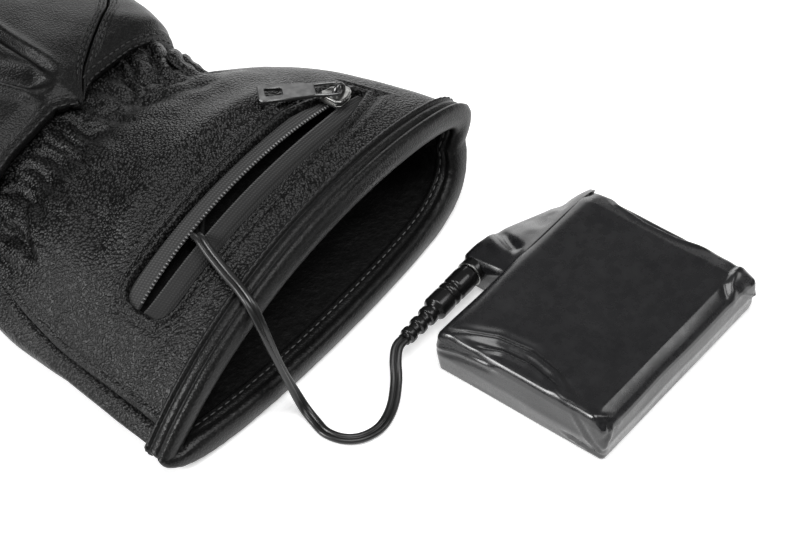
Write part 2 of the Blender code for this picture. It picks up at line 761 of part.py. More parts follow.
def slider_place():
    """The slider's frame: under it the closed teeth, its nose towards the zip's open end."""
    behind = (tape_edge(SLIDER_ANGLE, -1) + tape_edge(SLIDER_ANGLE, 1)) / 2
    centre = cuff_surface(behind, SLIDER_ANGLE, 0)
    step = 2 * DEGREE
    before = cuff_surface(behind, SLIDER_ANGLE - step, 0)
    after = cuff_surface(behind, SLIDER_ANGLE + step, 0)
    slope = math.atan2(before.z - after.z, before.x - after.x)
    height = COIL_DIAMETER - LEATHER + GAP * 1.5 + SLIDER_THICKNESS / 2
    place = Matrix.Translation(centre) @ Matrix.Rotation(-slope, 4, "Y")
    return place @ Matrix.Translation((0, 0, height))


def make_slider(metal, collection, cutters):
    """The slider's body with the arched bridge that holds the pull."""
    place = slider_place()
    body = box_mesh("zip_slider", (SLIDER_LENGTH, SLIDER_WIDTH, SLIDER_THICKNESS))
    for vertex in body.vertices:
        if vertex.co.x > 0:
            vertex.co.y *= SLIDER_NOSE
    slider = make_object("zip_slider", body, metal, collection)
    slider.matrix_world = place
    round_edges(slider, 0.5 * MM, 2)
    outside = box_mesh("bridge_outside", (BRIDGE_LENGTH, BRIDGE_WIDTH, BRIDGE_HEIGHT + MM),
                       (0, 0, SLIDER_THICKNESS / 2 + BRIDGE_HEIGHT / 2 - MM / 2))
    bridge = make_object("bridge_outside", outside, metal, collection)
    bridge.matrix_world = place
    round_edges(bridge, 0.45 * MM, 2)
    tunnel_height = PULL_BAR + 4 * GAP
    hole = box_mesh("bridge_tunnel", (BRIDGE_LENGTH - 2 * MM, 3 * BRIDGE_WIDTH, tunnel_height),
                    (0, 0, SLIDER_THICKNESS / 2 + tunnel_height / 2))
    tunnel = make_object("bridge_tunnel", hole, metal, collection)
    tunnel.matrix_world = place
    combine(slider, [bridge], "UNION", cutters)
    combine(slider, [tunnel], "DIFFERENCE", cutters)


def pull_place():
    """The pull's frame: origin on its bar, +X along the plate, +Y along the bar."""
    pivot = Matrix.Translation((0, 0, SLIDER_THICKNESS / 2 + 2 * GAP + PULL_BAR / 2))
    turn = Matrix.Rotation(math.pi - PULL_TURN, 4, "Z")
    dip = Matrix.Rotation(PULL_DIP, 4, "Y")
    return slider_place() @ pivot @ turn @ dip


def make_pull(metal, collection, cutters):
    """The pull: a plate with a window, and two arms to the bar under the bridge."""
    hinge = bpy.data.objects.new("zip_pull_hinge", None)
    collection.objects.link(hinge)
    hinge.matrix_world = pull_place()
    inside = PULL_WIDTH - 2 * PULL_ARM
    start = -PULL_BAR / 2
    plate = box_mesh("zip_pull", (PULL_LENGTH, PULL_WIDTH, PULL_THICKNESS),
                     (start + PULL_LENGTH / 2, 0, 0))
    pull = make_object("zip_pull", plate, metal, collection)
    pull.parent = hinge
    round_edges(pull, 0.3 * MM, 2)
    yoke_gap = box_mesh("pull_yoke_gap", (PULL_YOKE - PULL_BAR, inside, 3 * PULL_THICKNESS),
                        (PULL_YOKE / 2, 0, 0))
    window = box_mesh("pull_window", (PULL_WINDOW_LENGTH, PULL_WINDOW_WIDTH, 3 * PULL_THICKNESS),
                      (start + PULL_LENGTH - PULL_RIM - PULL_WINDOW_LENGTH / 2, 0, 0))
    helpers = []
    for mesh in (yoke_gap, window):
        helper = make_object(mesh.name, mesh, metal, collection)
        helper.parent = hinge
        helpers.append(helper)
    combine(pull, helpers, "DIFFERENCE", cutters)


def plug_direction():
    return Vector((math.cos(PLUG_TURN), math.sin(PLUG_TURN), 0))


def along_plug(distance):
    """The frame whose +Z runs along the plug, a distance from where the lead enters it."""
    point = Vector(PLUG_START) + plug_direction() * distance
    return Matrix.Translation(point) @ plug_direction().to_track_quat("Z", "Y").to_matrix().to_4x4()


def make_plug(rubber, collection):
    """The moulded plug with its ribbed strain relief."""
    profile = [(0.0, RELIEF_LENGTH + BARREL_LENGTH)]
    barrel = BARREL_DIAMETER / 2
    relief = RELIEF_DIAMETER / 2
    profile += [(barrel * 0.94, RELIEF_LENGTH + BARREL_LENGTH)]
    for share in (0.55, 0.40):
        groove = RELIEF_LENGTH + BARREL_LENGTH * share
        profile += [(barrel, groove + 0.8 * MM), (barrel * 0.86, groove), (barrel, groove - 0.8 * MM)]
    profile += [(barrel, RELIEF_LENGTH + MM), (relief * 0.8, RELIEF_LENGTH)]
    pitch = RELIEF_LENGTH / RELIEF_RIBS
    for rib in reversed(range(RELIEF_RIBS)):
        low = rib * pitch
        size = relief * mix(0.82, 1.0, rib / (RELIEF_RIBS - 1))
        profile += [(size, low + 0.72 * pitch), (size, low + 0.30 * pitch)]
        if rib:
            profile += [(size * 0.72, low + 0.16 * pitch), (size * 0.72, low - 0.12 * pitch)]
    profile += [(CORD_DIAMETER / 2 * 1.15, 0.0), (0.0, 0.0)]
    plug = turned("dc_plug", profile, 12, rubber, collection)
    plug.matrix_world = along_plug(0)


def make_socket(plastic, collection):
    """The round socket at the end of the battery's cover."""
    radius = SOCKET_DIAMETER / 2
    length = SOCKET_LENGTH
    profile = [(0.0, length), (radius * 0.94, length), (radius, length - 0.5 * MM),
               (radius, 0.6 * MM), (radius * 0.9, 0.0), (0.0, 0.0)]
    socket = turned("battery_socket", profile, 12, plastic, collection)
    socket.matrix_world = along_plug(RELIEF_LENGTH + BARREL_LENGTH + GAP)


def wrapped_block(name, low, high, corner, taper, rows, material, collection):
    """A block in shrunk film: rounded corners, drawn in at its top and bottom, and its
    outer side slanting in by the taper along its length."""
    rings = []
    for height, draw in rows:
        ring = []
        z = mix(low[2], high[2], height)
        far_y = high[1] - taper
        corners = ((high[0], far_y, 0, -1, -1), (low[0], high[1], 90, 1, -1),
                   (low[0], low[1], 180, 1, 1), (high[0], low[1], 270, -1, 1))
        for x, y, first, inward_x, inward_y in corners:
            for i in range(4):
                angle = (first + 30 * i) * DEGREE
                reach = corner - draw
                ring.append(Vector((x + inward_x * corner + reach * math.cos(angle),
                                    y + inward_y * corner + reach * math.sin(angle), z)))
        rings.append(ring)
    mesh = loft(name, rings, caps=True)
    weld_and_turn(mesh)
    make_object(name, mesh, material, collection)


def make_battery(film, collection):
    """The battery pack in its wrap, and the shoulder of wrap over the socket."""
    x, y = BATTERY_CORNER
    low = (x, y, 0.0)
    high = (x + BATTERY_LENGTH, y + BATTERY_WIDTH, BATTERY_HEIGHT)
    rows = [(0.0, 1.6 * MM), (0.05, 0.6 * MM), (0.14, 0.0), (0.5, 0.25 * MM), (0.86, 0.0),
            (0.96, 0.7 * MM), (1.0, 1.8 * MM)]
    wrapped_block("battery_pack", low, high, BATTERY_CORNER_RADIUS, 0.0, rows, film, collection)
    socket_end = along_plug(RELIEF_LENGTH + BARREL_LENGTH + 2 * GAP + SOCKET_LENGTH).translation
    low = (socket_end.x + MM / 2, y + BATTERY_WIDTH + GAP, 0.0)
    high = (low[0] + COVER_LENGTH - MM / 2, low[1] + COVER_WIDTH, COVER_HEIGHT)
    rows = [(0.0, 1.2 * MM), (0.08, 0.2 * MM), (0.55, 0.3 * MM), (0.8, 0.8 * MM), (1.0, 1.8 * MM)]
    wrapped_block("socket_cover", low, high, COVER_CORNER_RADIUS, COVER_TAPER, rows, film, collection)


def make_cord(rubber, collection):
    """The lead from the pocket over the rim and along the floor to the plug."""
    route = [tuple(value * MM for value in point) for point in CORD_ROUTE]
    for distance in (CORD_DIAMETER, GAP):
        route.append(tuple(Vector(PLUG_START) - plug_direction() * distance))
    points = smooth_route(route, 1.3 * CORD_DIAMETER)
    tube("power_cord", points, CORD_DIAMETER, 2, rubber, collection)


def main():
    for item in list(bpy.data.objects):
        bpy.data.objects.remove(item)
    collection = bpy.data.collections.new("heated_glove")
    cutters = bpy.data.collections.new("cutters")
    bpy.context.scene.collection.children.link(collection)
    bpy.context.scene.collection.children.link(cutters)

    leather = make_material("black leather", (0.018, 0.018, 0.019), 0.45)
    fleece = make_material("black fleece", (0.012, 0.012, 0.013), 0.95)
    tape = make_material("woven zip tape", (0.03, 0.03, 0.032), 0.8)
    teeth = make_material("dark zip teeth", (0.12, 0.12, 0.13), 0.35, 0.6)
    metal = make_material("gunmetal", (0.30, 0.30, 0.31), 0.35, 1.0)
    rubber = make_material("black cable rubber", (0.012, 0.012, 0.012), 0.4)
    film = make_material("black shrink film", (0.010, 0.010, 0.011), 0.18)

    make_cuff_palm(leather, collection)
    make_cuff_back(leather, collection)
    make_binding(leather, collection)
    make_lining(fleece, collection)
    make_hand(leather, collection)
    make_fingers(leather, collection)
    make_thumb(leather, collection)
    make_zip_tapes(tape, teeth, collection)
    make_slider(metal, collection, cutters)
    make_pull(metal, collection, cutters)
    make_cord(rubber, collection)
    make_plug(rubber, collection)
    make_socket(rubber, collection)
    make_battery(film, collection)


main()
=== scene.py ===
"""Dressed model of a heated glove with its battery pack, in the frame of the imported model."""

import math
from collections import namedtuple

import bmesh
import bpy
import numpy as np
from mathutils import Matrix, Vector


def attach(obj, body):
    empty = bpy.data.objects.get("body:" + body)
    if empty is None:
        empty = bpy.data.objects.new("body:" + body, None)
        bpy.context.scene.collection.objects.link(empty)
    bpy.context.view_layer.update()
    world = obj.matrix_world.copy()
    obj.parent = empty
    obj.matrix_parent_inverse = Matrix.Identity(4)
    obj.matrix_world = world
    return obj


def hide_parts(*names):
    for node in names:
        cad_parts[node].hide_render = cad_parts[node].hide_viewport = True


MM = 0.001
DEGREE = math.pi / 180

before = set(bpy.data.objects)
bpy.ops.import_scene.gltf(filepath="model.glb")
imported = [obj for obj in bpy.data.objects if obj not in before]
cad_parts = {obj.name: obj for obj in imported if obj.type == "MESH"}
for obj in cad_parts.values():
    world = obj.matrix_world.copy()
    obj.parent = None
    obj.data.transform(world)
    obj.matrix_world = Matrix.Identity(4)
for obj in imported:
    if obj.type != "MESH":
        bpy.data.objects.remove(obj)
scene = bpy.context.scene
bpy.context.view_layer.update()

# ---- camera, floor and light ----

CAMERA_AT = (-0.4014, -0.3745, 0.5563)
CAMERA_TURN = -52 * DEGREE
CAMERA_RISE = 45.5 * DEGREE


def make_camera():
    """A long lens, standing where the photographer stood."""
    data = bpy.data.cameras.new("camera")
    data.lens = 126
    data.sensor_width = 36
    data.clip_start = 0.01
    camera = bpy.data.objects.new("camera", data)
    scene.collection.objects.link(camera)
    forward = Vector((-math.sin(CAMERA_TURN) * math.cos(CAMERA_RISE),
                      math.cos(CAMERA_TURN) * math.cos(CAMERA_RISE), -math.sin(CAMERA_RISE)))
    camera.location = CAMERA_AT
    camera.rotation_euler = forward.to_track_quat("-Z", "Y").to_euler()
    scene.camera = camera


def area_light(name, place, target, size, power):
    data = bpy.data.lights.new(name, "AREA")
    data.shape = "DISK"
    data.size = size
    data.energy = power
    lamp = bpy.data.objects.new(name, data)
    scene.collection.objects.link(lamp)
    lamp.location = place
    lamp.rotation_euler = (Vector(target) - Vector(place)).to_track_quat("-Z", "Y").to_euler()


# The soft lights: name, place, size, power
LIGHTS = [
    ("key light", (-0.80, 0.50, 0.62), 0.5, 9.5),
    ("top light", (-0.10, -0.25, 1.30), 0.9, 11),
    ("back light", (0.98, 0.85, 0.30), 0.85, 3.4),
    ("front light", (0.62, -0.62, 0.95), 0.5, 2.2),
]
LIGHTS_FACE = (0.0, -0.02, 0.02)


def make_studio():
    """A white floor under four soft lights and an even white surround."""
    floor = bpy.data.meshes.new("floor")
    half = 4.0
    floor.from_pydata([(-half, -half, 0), (half, -half, 0), (half, half, 0), (-half, half, 0)],
                      [], [(0, 1, 2, 3)])
    floor_object = bpy.data.objects.new("floor", floor)
    scene.collection.objects.link(floor_object)
    paper = bpy.data.materials.new("white paper")
    paper.use_nodes = True
    shader = paper.node_tree.nodes["Principled BSDF"]
    shader.inputs["Base Color"].default_value = (0.97, 0.97, 0.97, 1)
    shader.inputs["Roughness"].default_value = 0.9
    shader.inputs["Specular IOR Level"].default_value = 0.1
    shader.inputs["Emission Color"].default_value = (1, 1, 1, 1)
    shader.inputs["Emission Strength"].default_value = 0.5
    floor.materials.append(paper)
    for name, place, size, power in LIGHTS:
        area_light(name, place, LIGHTS_FACE, size, power)
    world = bpy.data.worlds.new("surround")
    world.use_nodes = True
    world.node_tree.nodes["Background"].inputs["Color"].default_value = (1, 1, 1, 1)
    world.node_tree.nodes["Background"].inputs["Strength"].default_value = 0.13
    scene.world = world
    scene.view_settings.view_transform = "Standard"


# ---- materials ----

def new_material(name, colour, roughness, **values):
    """A Principled material; values are socket names with _ for each space."""
    material = bpy.data.materials.new(name)
    material.use_nodes = True
    shader = material.node_tree.nodes["Principled BSDF"]
    shader.inputs["Base Color"].default_value = (*colour, 1)
    shader.inputs["Roughness"].default_value = roughness
    for key, value in values.items():
        shader.inputs[key.replace("_", " ")].default_value = value
    return material


def add_node(material, kind, inputs=(), **properties):
    """Add a node; inputs are (socket, value or linked output) pairs."""
    node = material.node_tree.nodes.new(kind)
    for key, value in properties.items():
        setattr(node, key, value)
    for socket, value in inputs:
        if isinstance(value, bpy.types.NodeSocket):
            material.node_tree.links.new(value, node.inputs[socket])
        else:
            node.inputs[socket].default_value = value
    return node


def shader_input(material, socket, output):
    shader = material.node_tree.nodes["Principled BSDF"]
    material.node_tree.links.new(output, shader.inputs[socket])


def place_of(material, uv=None):
    """Object coordinates, or the piece's own surface map where the pattern follows it."""
    if uv:
        return add_node(material, "ShaderNodeUVMap", uv_map=uv).outputs["UV"]
    return add_node(material, "ShaderNodeTexCoord").outputs["Object"]


def ramp(material, value, stops):
    """Colour ramp through (position, colour) stops."""
    node = add_node(material, "ShaderNodeValToRGB", [("Fac", value)])
    elements = node.color_ramp.elements
    while len(elements) < len(stops):
        elements.new(0.5)
    for element, (position, colour) in zip(elements, stops):
        element.position = position
        element.color = (*colour, 1) if len(colour) == 3 else colour
    return node.outputs["Color"]


def span(material, value, low, high, new_low, new_high):
    node = add_node(material, "ShaderNodeMapRange", [
        ("Value", value), ("From Min", low), ("From Max", high),
        ("To Min", new_low), ("To Max", new_high)])
    return node.outputs["Result"]


def bump(material, height, distance, strength=1.0, under=None):
    inputs = [("Height", height), ("Distance", distance), ("Strength", strength)]
    if under is not None:
        inputs.append(("Normal", under))
    return add_node(material, "ShaderNodeBump", inputs).outputs["Normal"]


def noise(material, place, scale, detail=2.0, roughness=0.5):
    return add_node(material, "ShaderNodeTexNoise", [
        ("Vector", place), ("Scale", scale), ("Detail", detail), ("Roughness", roughness)])


def leather_material(name, tone, grain, gloss, depth, painted_pit_shade, top):
    """Pebbled full-grain leather: small rounded cells with fine pits, smoother on the folds; the
    colour is painted shade in the pits and a painted highlight on the cell tops.
    """
    material = new_material(name, (tone, tone, tone * 1.04), gloss, Specular_IOR_Level=0.25)
    place = place_of(material)
    warp = noise(material, place, 420, 2.0)
    mixed = add_node(material, "ShaderNodeMix", [
        ("Factor", 0.0007), (4, place), (5, warp.outputs["Color"])], data_type="VECTOR")
    cells = add_node(material, "ShaderNodeTexVoronoi", [
        ("Vector", mixed.outputs[1]), ("Scale", grain), ("Smoothness", 0.45)],
        feature="SMOOTH_F1")
    wide = noise(material, place, 45, 3.0)
    fine = noise(material, place, 2900, 2.0)
    pebble = span(material, cells.outputs["Distance"], 0.05, 0.75, 1.0, 0.0)
    coarse_bump = bump(material, wide.outputs["Fac"], 0.0006, 0.12)
    grain_bump = bump(material, pebble, depth, 0.9, coarse_bump)
    fine_bump = bump(material, fine.outputs["Fac"], 0.00003, 0.5, grain_bump)
    shader_input(material, "Normal", fine_bump)
    # Painted shade: the pits darker than the tone; painted highlight: the cell tops lighter than
    # it.
    dark = (tone * painted_pit_shade,) * 3
    light = (tone * top,) * 3
    shader_input(material, "Base Color", ramp(material, pebble, [(0.3, dark), (0.95, light)]))
    shader_input(material, "Roughness",
                 span(material, wide.outputs["Fac"], 0.3, 0.7, gloss - 0.05, gloss + 0.07))
    return material


def fleece_material():
    """Short brushed pile, near black and mottled."""
    material = new_material("black fleece pile", (0.012, 0.013, 0.013), 0.95,
                            Sheen_Weight=0.12, Sheen_Roughness=0.5, Specular_IOR_Level=0.1)
    place = place_of(material)
    tufts = noise(material, place, 520, 4.0, 0.7)
    clumps = noise(material, place, 120, 3.0, 0.6)
    shader_input(material, "Base Color", ramp(material, tufts.outputs["Fac"], [
        (0.35, (0.002, 0.002, 0.002)), (0.62, (0.009, 0.009, 0.009)), (0.85, (0.03, 0.03, 0.03))]))
    low = bump(material, clumps.outputs["Fac"], 0.0016, 0.6)
    shader_input(material, "Normal", bump(material, tufts.outputs["Fac"], 0.0008, 0.9, low))
    return material


def weave_material(name, tone, uv, thread):
    """Narrow woven tape: warp and weft threads crossing, a little fuzz."""
    material = new_material(name, (tone, tone, tone), 0.8, Sheen_Weight=0.15)
    place = place_of(material, uv)
    wefts = add_node(material, "ShaderNodeTexWave", [
        ("Vector", place), ("Scale", thread), ("Distortion", 0.6), ("Detail", 1.0)],
        bands_direction="X")
    warps = add_node(material, "ShaderNodeTexWave", [
        ("Vector", place), ("Scale", thread * 0.8), ("Distortion", 0.6), ("Detail", 1.0)],
        bands_direction="Y")
    crossed = add_node(material, "ShaderNodeMath", [
        (0, wefts.outputs["Fac"]), (1, warps.outputs["Fac"])], operation="MULTIPLY")
    shader_input(material, "Base Color", ramp(material, crossed.outputs["Value"], [
        (0.0, (tone * 0.4,) * 3), (0.7, (tone * 1.3,) * 3)]))
    shader_input(material, "Normal", bump(material, crossed.outputs["Value"], 0.0002, 0.8))
    return material


def moulded_material(name, tone, roughness, bump_scale=900, depth=0.00003):
    """Moulded rubber or plastic: a soft sheen with faint ripples and dust in the gloss."""
    material = new_material(name, (tone, tone, tone), roughness, Specular_IOR_Level=0.5)
    place = place_of(material)
    ripple = noise(material, place, bump_scale, 3.0)
    patch = noise(material, place, 60, 3.0)
    shader_input(material, "Normal", bump(material, ripple.outputs["Fac"], depth, 0.6))
    shader_input(material, "Roughness", span(material, patch.outputs["Fac"], 0.3, 0.7,
                                             roughness * 0.8, roughness * 1.25))
    shader_input(material, "Base Color", ramp(material, patch.outputs["Fac"], [
        (0.3, (tone * 0.8,) * 3), (0.7, (tone * 1.25,) * 3)]))
    return material


def metal_material(name, tone, roughness):
    """Cast zinc with a rubbed finish, brighter on the rubbed patches."""
    material = new_material(name, tone, roughness, Metallic=1.0)
    place = place_of(material)
    patch = noise(material, place, 350, 4.0)
    grit = noise(material, place, 2200, 2.0)
    shader_input(material, "Base Color", ramp(material, patch.outputs["Fac"], [
        (0.3, tuple(0.7 * c for c in tone)), (0.7, tuple(min(1, 1.2 * c) for c in tone))]))
    shader_input(material, "Roughness", span(material, patch.outputs["Fac"], 0.3, 0.7,
                                             roughness * 1.2, roughness * 0.8))
    shader_input(material, "Normal", bump(material, grit.outputs["Fac"], 0.00001, 0.5))
    return material


def film_material():
    """Glossy shrink film over the pack, with small ripples in it."""
    material = new_material("black shrink film", (0.010, 0.010, 0.011), 0.27,
                            Specular_IOR_Level=0.6, Coat_Weight=0.25, Coat_Roughness=0.16)
    place = place_of(material)
    ripple = noise(material, place, 70, 2.0, 0.4)
    scuff = noise(material, place, 300, 3.0, 0.6)
    low = bump(material, ripple.outputs["Fac"], 0.0005, 0.15)
    shader_input(material, "Normal", bump(material, scuff.outputs["Fac"], 0.00002, 0.2, low))
    shader_input(material, "Roughness", span(material, scuff.outputs["Fac"], 0.35, 0.7, 0.23, 0.34))
    shader_input(material, "Base Color", ramp(material, ripple.outputs["Fac"], [
        (0.3, (0.008, 0.008, 0.009)), (0.75, (0.013, 0.013, 0.014))]))
    return material


# The last two numbers darken the pits as painted shade and lighten the cell tops as a painted
# highlight.
LEATHER_FINISH = leather_material("black pebbled leather", 0.0130, 1500, 0.35, 0.00021,
                                   0.04, 3.0)
HAND_FINISH = leather_material("black drawn leather", 0.0090, 1900, 0.38, 0.00009, 0.4, 1.4)
BINDING_FINISH = leather_material("black binding leather", 0.0110, 1900, 0.36, 0.00007,
                                   0.5, 1.4)
FLEECE_FINISH = fleece_material()
TAPE_FINISH = weave_material("black woven tape", 0.042, "surface", 420)
# The mouth side's tape is the darker copy of the same tape, as painted shade.
SHADED_TAPE_FINISH = weave_material("black woven tape in painted shade", 0.013, "surface", 420)
THREAD_FINISH = moulded_material("black sewing thread", 0.022, 0.55, 1500, 0.00005)
# The inside row of the binding's stitches is grey as a painted highlight along the seam.
HIGHLIGHT_THREAD_FINISH = moulded_material("grey thread as painted highlight", 0.10, 0.6, 1500, 0.00005)
# The wrist side's teeth are pale grey as painted glints; the mouth side's teeth are black.
GLINTING_TEETH_FINISH = moulded_material("nylon teeth with painted glints", 0.16, 0.22)
DARK_TEETH_FINISH = moulded_material("black nylon teeth", 0.008, 0.4)
SLIDER_FINISH = metal_material("bright nickel", (0.34, 0.34, 0.33), 0.30)
BRIDGE_FINISH = metal_material("dark nickel", (0.10, 0.10, 0.10), 0.3)
PULL_FINISH = metal_material("rubbed pewter", (0.15, 0.15, 0.15), 0.38)
CABLE_FINISH = moulded_material("black cable rubber", 0.012, 0.32)
PLUG_FINISH = moulded_material("gloss black plug", 0.008, 0.22)
FILM_FINISH = film_material()

# ---- the glove's form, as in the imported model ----

LEATHER = 1.8 * MM
LINING = 1.6 * MM
LINING_EASE = 0.9 * MM
GAP = 0.3 * MM
CUFF_FRONT = -34 * MM
CUFF_LENGTH = 88 * MM
MOUTH_HALF = 67 * MM
CUFF_HEIGHT = 42 * MM
GATHER_DEPTH = 2.2 * MM
CUFF_THUMB_SEAM = 170 * DEGREE
CUFF_LITTLE_SEAM = 8 * DEGREE
POCKET_DEPTH = 9 * MM
POCKET_END = 0.85
BINDING_INSIDE = 4.5 * MM
HAND_FRONT = 47 * MM
HAND_LENGTH = 93 * MM
HAND_HALF = 57 * MM
HAND_HEIGHT = 42 * MM
HEEL_LENGTH = 52 * MM
HEEL_POINT = 88 * DEGREE
THUMB_HOLE_START = 20 * MM
THUMB_HOLE_LENGTH = 40 * MM
THUMB_HOLE_SPREAD = 42 * DEGREE
THUMB_LENGTH = 70 * MM
THUMB_HALF = 16 * MM
THUMB_SPLAY = 28 * DEGREE
THUMB_COLLAR = 2.5 * MM
THUMB_LIFT = 0.3 * MM
FINGER_HEIGHT = 30 * MM
FINGER_CURL = 15 * MM
WINDOW_START = 17.5 * MM
WINDOW_WIDTH = 13.8 * MM
WINDOW_LITTLE_END = 53 * DEGREE
WINDOW_THUMB_END = 145.6 * DEGREE
SLIDER_ANGLE = 63.5 * DEGREE
ZIP_OPENING = 5.2 * MM
ZIP_CLOSED_GAP = 1.6 * MM
ZIP_LINE = 7.4 * MM
LITTLE_POWER = 0.85
FLAT_FROM = 0.8
FLANK_POWER = 1.8
LIP_FADE = 3
GATHERS = 13
# Where the cuff's leather and lining begin behind the binding, as a share of the cuff's length
LEATHER_START = 0.012
# Mean radii that turn an angle round a form into a distance, in mm
CUFF_ROUND = 50
SEAM_ROUND = 60
HAND_ROUND = 40

Form = namedtuple("Form", "rows front length half height lip skew")

# Columns: along, centre, half, lean, crown, thumb side, little side, lift, pinch, gather
CUFF = Form(np.array([
    (0.000, -0.018, 0.985, 0.27, 0.948, 0.15, 0.43, 0.052, 1.20, 0.00),
    (0.091, -0.018, 0.970, 0.27, 0.970, 0.15, 0.43, 0.038, 1.20, 0.00),
    (0.216, -0.030, 0.945, 0.24, 0.990, 0.17, 0.43, 0.000, 1.15, 0.00),
    (0.443, -0.055, 0.890, 0.19, 1.010, 0.19, 0.43, 0.000, 1.10, 0.00),
    (0.636, -0.080, 0.810, 0.13, 0.968, 0.22, 0.40, 0.000, 1.00, 0.12),
    (0.750, -0.100, 0.740, 0.10, 0.893, 0.25, 0.38, 0.030, 0.95, 0.60),
    (0.830, -0.108, 0.695, 0.09, 0.820, 0.28, 0.36, 0.080, 0.90, 1.00),
    (0.909, -0.110, 0.660, 0.09, 0.826, 0.30, 0.36, 0.130, 0.90, 1.00),
    (1.000, -0.115, 0.640, 0.09, 0.820, 0.31, 0.36, 0.150, 0.90, 0.70),
]), CUFF_FRONT, CUFF_LENGTH, MOUTH_HALF, CUFF_HEIGHT, 8 * MM, 2.5 * MM)

HAND = Form(np.array([
    (0.000, -0.160, 0.895, 0.105, 0.890, 0.320, 0.38, 0.0, 0.90, 0.0),
    (0.070, -0.145, 0.920, 0.100, 0.965, 0.330, 0.38, 0.0, 0.88, 0.0),
    (0.270, -0.115, 0.970, 0.070, 1.005, 0.360, 0.38, 0.0, 0.82, 0.0),
    (0.677, -0.060, 1.000, 0.020, 0.930, 0.380, 0.38, 0.0, 0.80, 0.0),
    (1.000, -0.053, 0.982, 0.000, 0.810, 0.357, 0.36, 0.0, 0.80, 0.0),
]), HAND_FRONT, HAND_LENGTH, HAND_HALF, HAND_HEIGHT, 0.0, 0.0)


def mix(start, end, share):
    return start + (end - start) * share


def unit(vectors):
    """Vectors of length one with the same directions."""
    return vectors / np.maximum(np.linalg.norm(vectors, axis=-1, keepdims=True), 1e-12)


def full_turn(count):
    """Even angles round a full turn."""
    return np.linspace(0, 2 * math.pi, count + 1)[:-1]


def path_lengths(points):
    """How far along a path each of its points is."""
    return np.concatenate([[0], np.cumsum(np.linalg.norm(np.diff(points, axis=0), axis=1))])


def sampled(values, places, wanted):
    """Rows of values at the wanted places, between the rows that stand at places."""
    return np.stack([np.interp(wanted, places, column) for column in values.T], -1)


def curve_point(a, b, c, d, t):
    """A point at share t between b and c, on a smooth curve through a, b, c and d."""
    return 0.5 * (2 * b + (c - a) * t + (2 * a - 5 * b + 4 * c - d) * t * t
                  + (3 * b - a - 3 * c + d) * t ** 3)


def smooth_columns(rows, along):
    """Every column of a table at each place, on curves that never overshoot the rows."""
    places, values = rows[:, 0], rows[:, 1:]
    along = np.clip(along, places[0], places[-1])
    slopes = np.diff(values, axis=0) / np.diff(places)[:, None]
    before, after = slopes[:-1], slopes[1:]
    together = before * after > 0
    inner = np.where(together, 2 * before * after / np.where(together, before + after, 1), 0)
    tangents = np.vstack([slopes[:1], inner, slopes[-1:]])
    left = np.clip(np.searchsorted(places, along, side="right") - 1, 0, len(places) - 2)
    width = (places[left + 1] - places[left])[..., None]
    t = (along[..., None] - places[left][..., None]) / width
    found = (2 * t ** 3 - 3 * t ** 2 + 1) * values[left]
    found = found + (3 * t ** 2 - 2 * t ** 3) * values[left + 1]
    found = found + (t ** 3 - 2 * t ** 2 + t) * tangents[left] * width
    found = found + (t ** 3 - t ** 2) * tangents[left + 1] * width
    return np.moveaxis(found, -1, 0)


def form_points(form, along, angle, inset=0.0):
    """Points of a form: 0 degrees is the little finger's side, 90 the top, 180 the thumb's."""
    along, angle, inset = np.broadcast_arrays(along, angle, inset)
    along = along.astype(float)
    centre, half_share, lean, crown, thumb, little, lift, pinch, gather = smooth_columns(
        form.rows, along)
    cosine, sine = np.cos(angle), np.sin(angle)
    half = half_share * form.half - inset
    side = mix(thumb, little, (1 + cosine) / 2) * form.height
    x = centre * form.half + half * cosine + lean * form.half * np.maximum(0.0, sine)
    power = mix(pinch, LITTLE_POWER, (1 + cosine) / 2)
    top = side + (crown * form.height - inset - side) * np.maximum(sine, 0.0) ** power
    floor = lift * form.height + inset
    below = floor + (side - floor) * np.maximum(0.0, 1 + sine / FLAT_FROM) ** FLANK_POWER
    z = np.where(sine >= 0, top, below)
    y = form.front + along * form.length
    mouth_end = np.maximum(0.0, 1 - along) ** LIP_FADE
    y = y + (form.skew * cosine - form.lip * np.maximum(0.0, -sine)) * mouth_end
    return np.stack([x, y, z], axis=-1)


def grid_normals(points, closed=False):
    """Outward directions on a grid of points laid out as rows along and columns around."""
    if closed:
        around = np.roll(points, -1, 1) - np.roll(points, 1, 1)
    else:
        around = np.gradient(points, axis=1)
    return unit(np.cross(np.gradient(points, axis=0), around))


def soft_field(points, wavelength, seed, waves=14):
    """A smooth random field between about -1 and 1, the same on each run."""
    random = np.random.default_rng(seed)
    total = np.zeros(points.shape[:-1])
    for _ in range(waves):
        heading = random.normal(size=points.shape[-1])
        heading *= random.uniform(0.6, 1.4) * 2 * math.pi / wavelength / np.linalg.norm(heading)
        total += np.sin(points @ heading + random.uniform(0, 2 * math.pi))
    return total / math.sqrt(waves)


def line_distance(points, line):
    """Signed distance in plan from a drawn line, and the share of its length there."""
    line = np.array(line) * MM
    steps = np.diff(line, axis=0)
    lengths = np.linalg.norm(steps, axis=1)
    passed = np.concatenate([[0], np.cumsum(lengths)])
    best = np.full(points.shape[:-1], 1e9)
    signed = np.zeros(points.shape[:-1])
    share = np.zeros(points.shape[:-1])
    for start, step, length, before in zip(line, steps, lengths, passed):
        offset = points[..., :2] - start
        t = np.clip(offset @ step / length ** 2, 0, 1)
        away = offset - t[..., None] * step
        distance = np.linalg.norm(away, axis=-1)
        side = np.sign(step[0] * offset[..., 1] - step[1] * offset[..., 0])
        closer = distance < best
        best = np.where(closer, distance, best)
        signed = np.where(closer, side * distance, signed)
        share = np.where(closer, (before + t * length) / passed[-1], share)
    return signed, share


# The share of a crease's length over which it fades out at each end
FOLD_FADE = 0.2


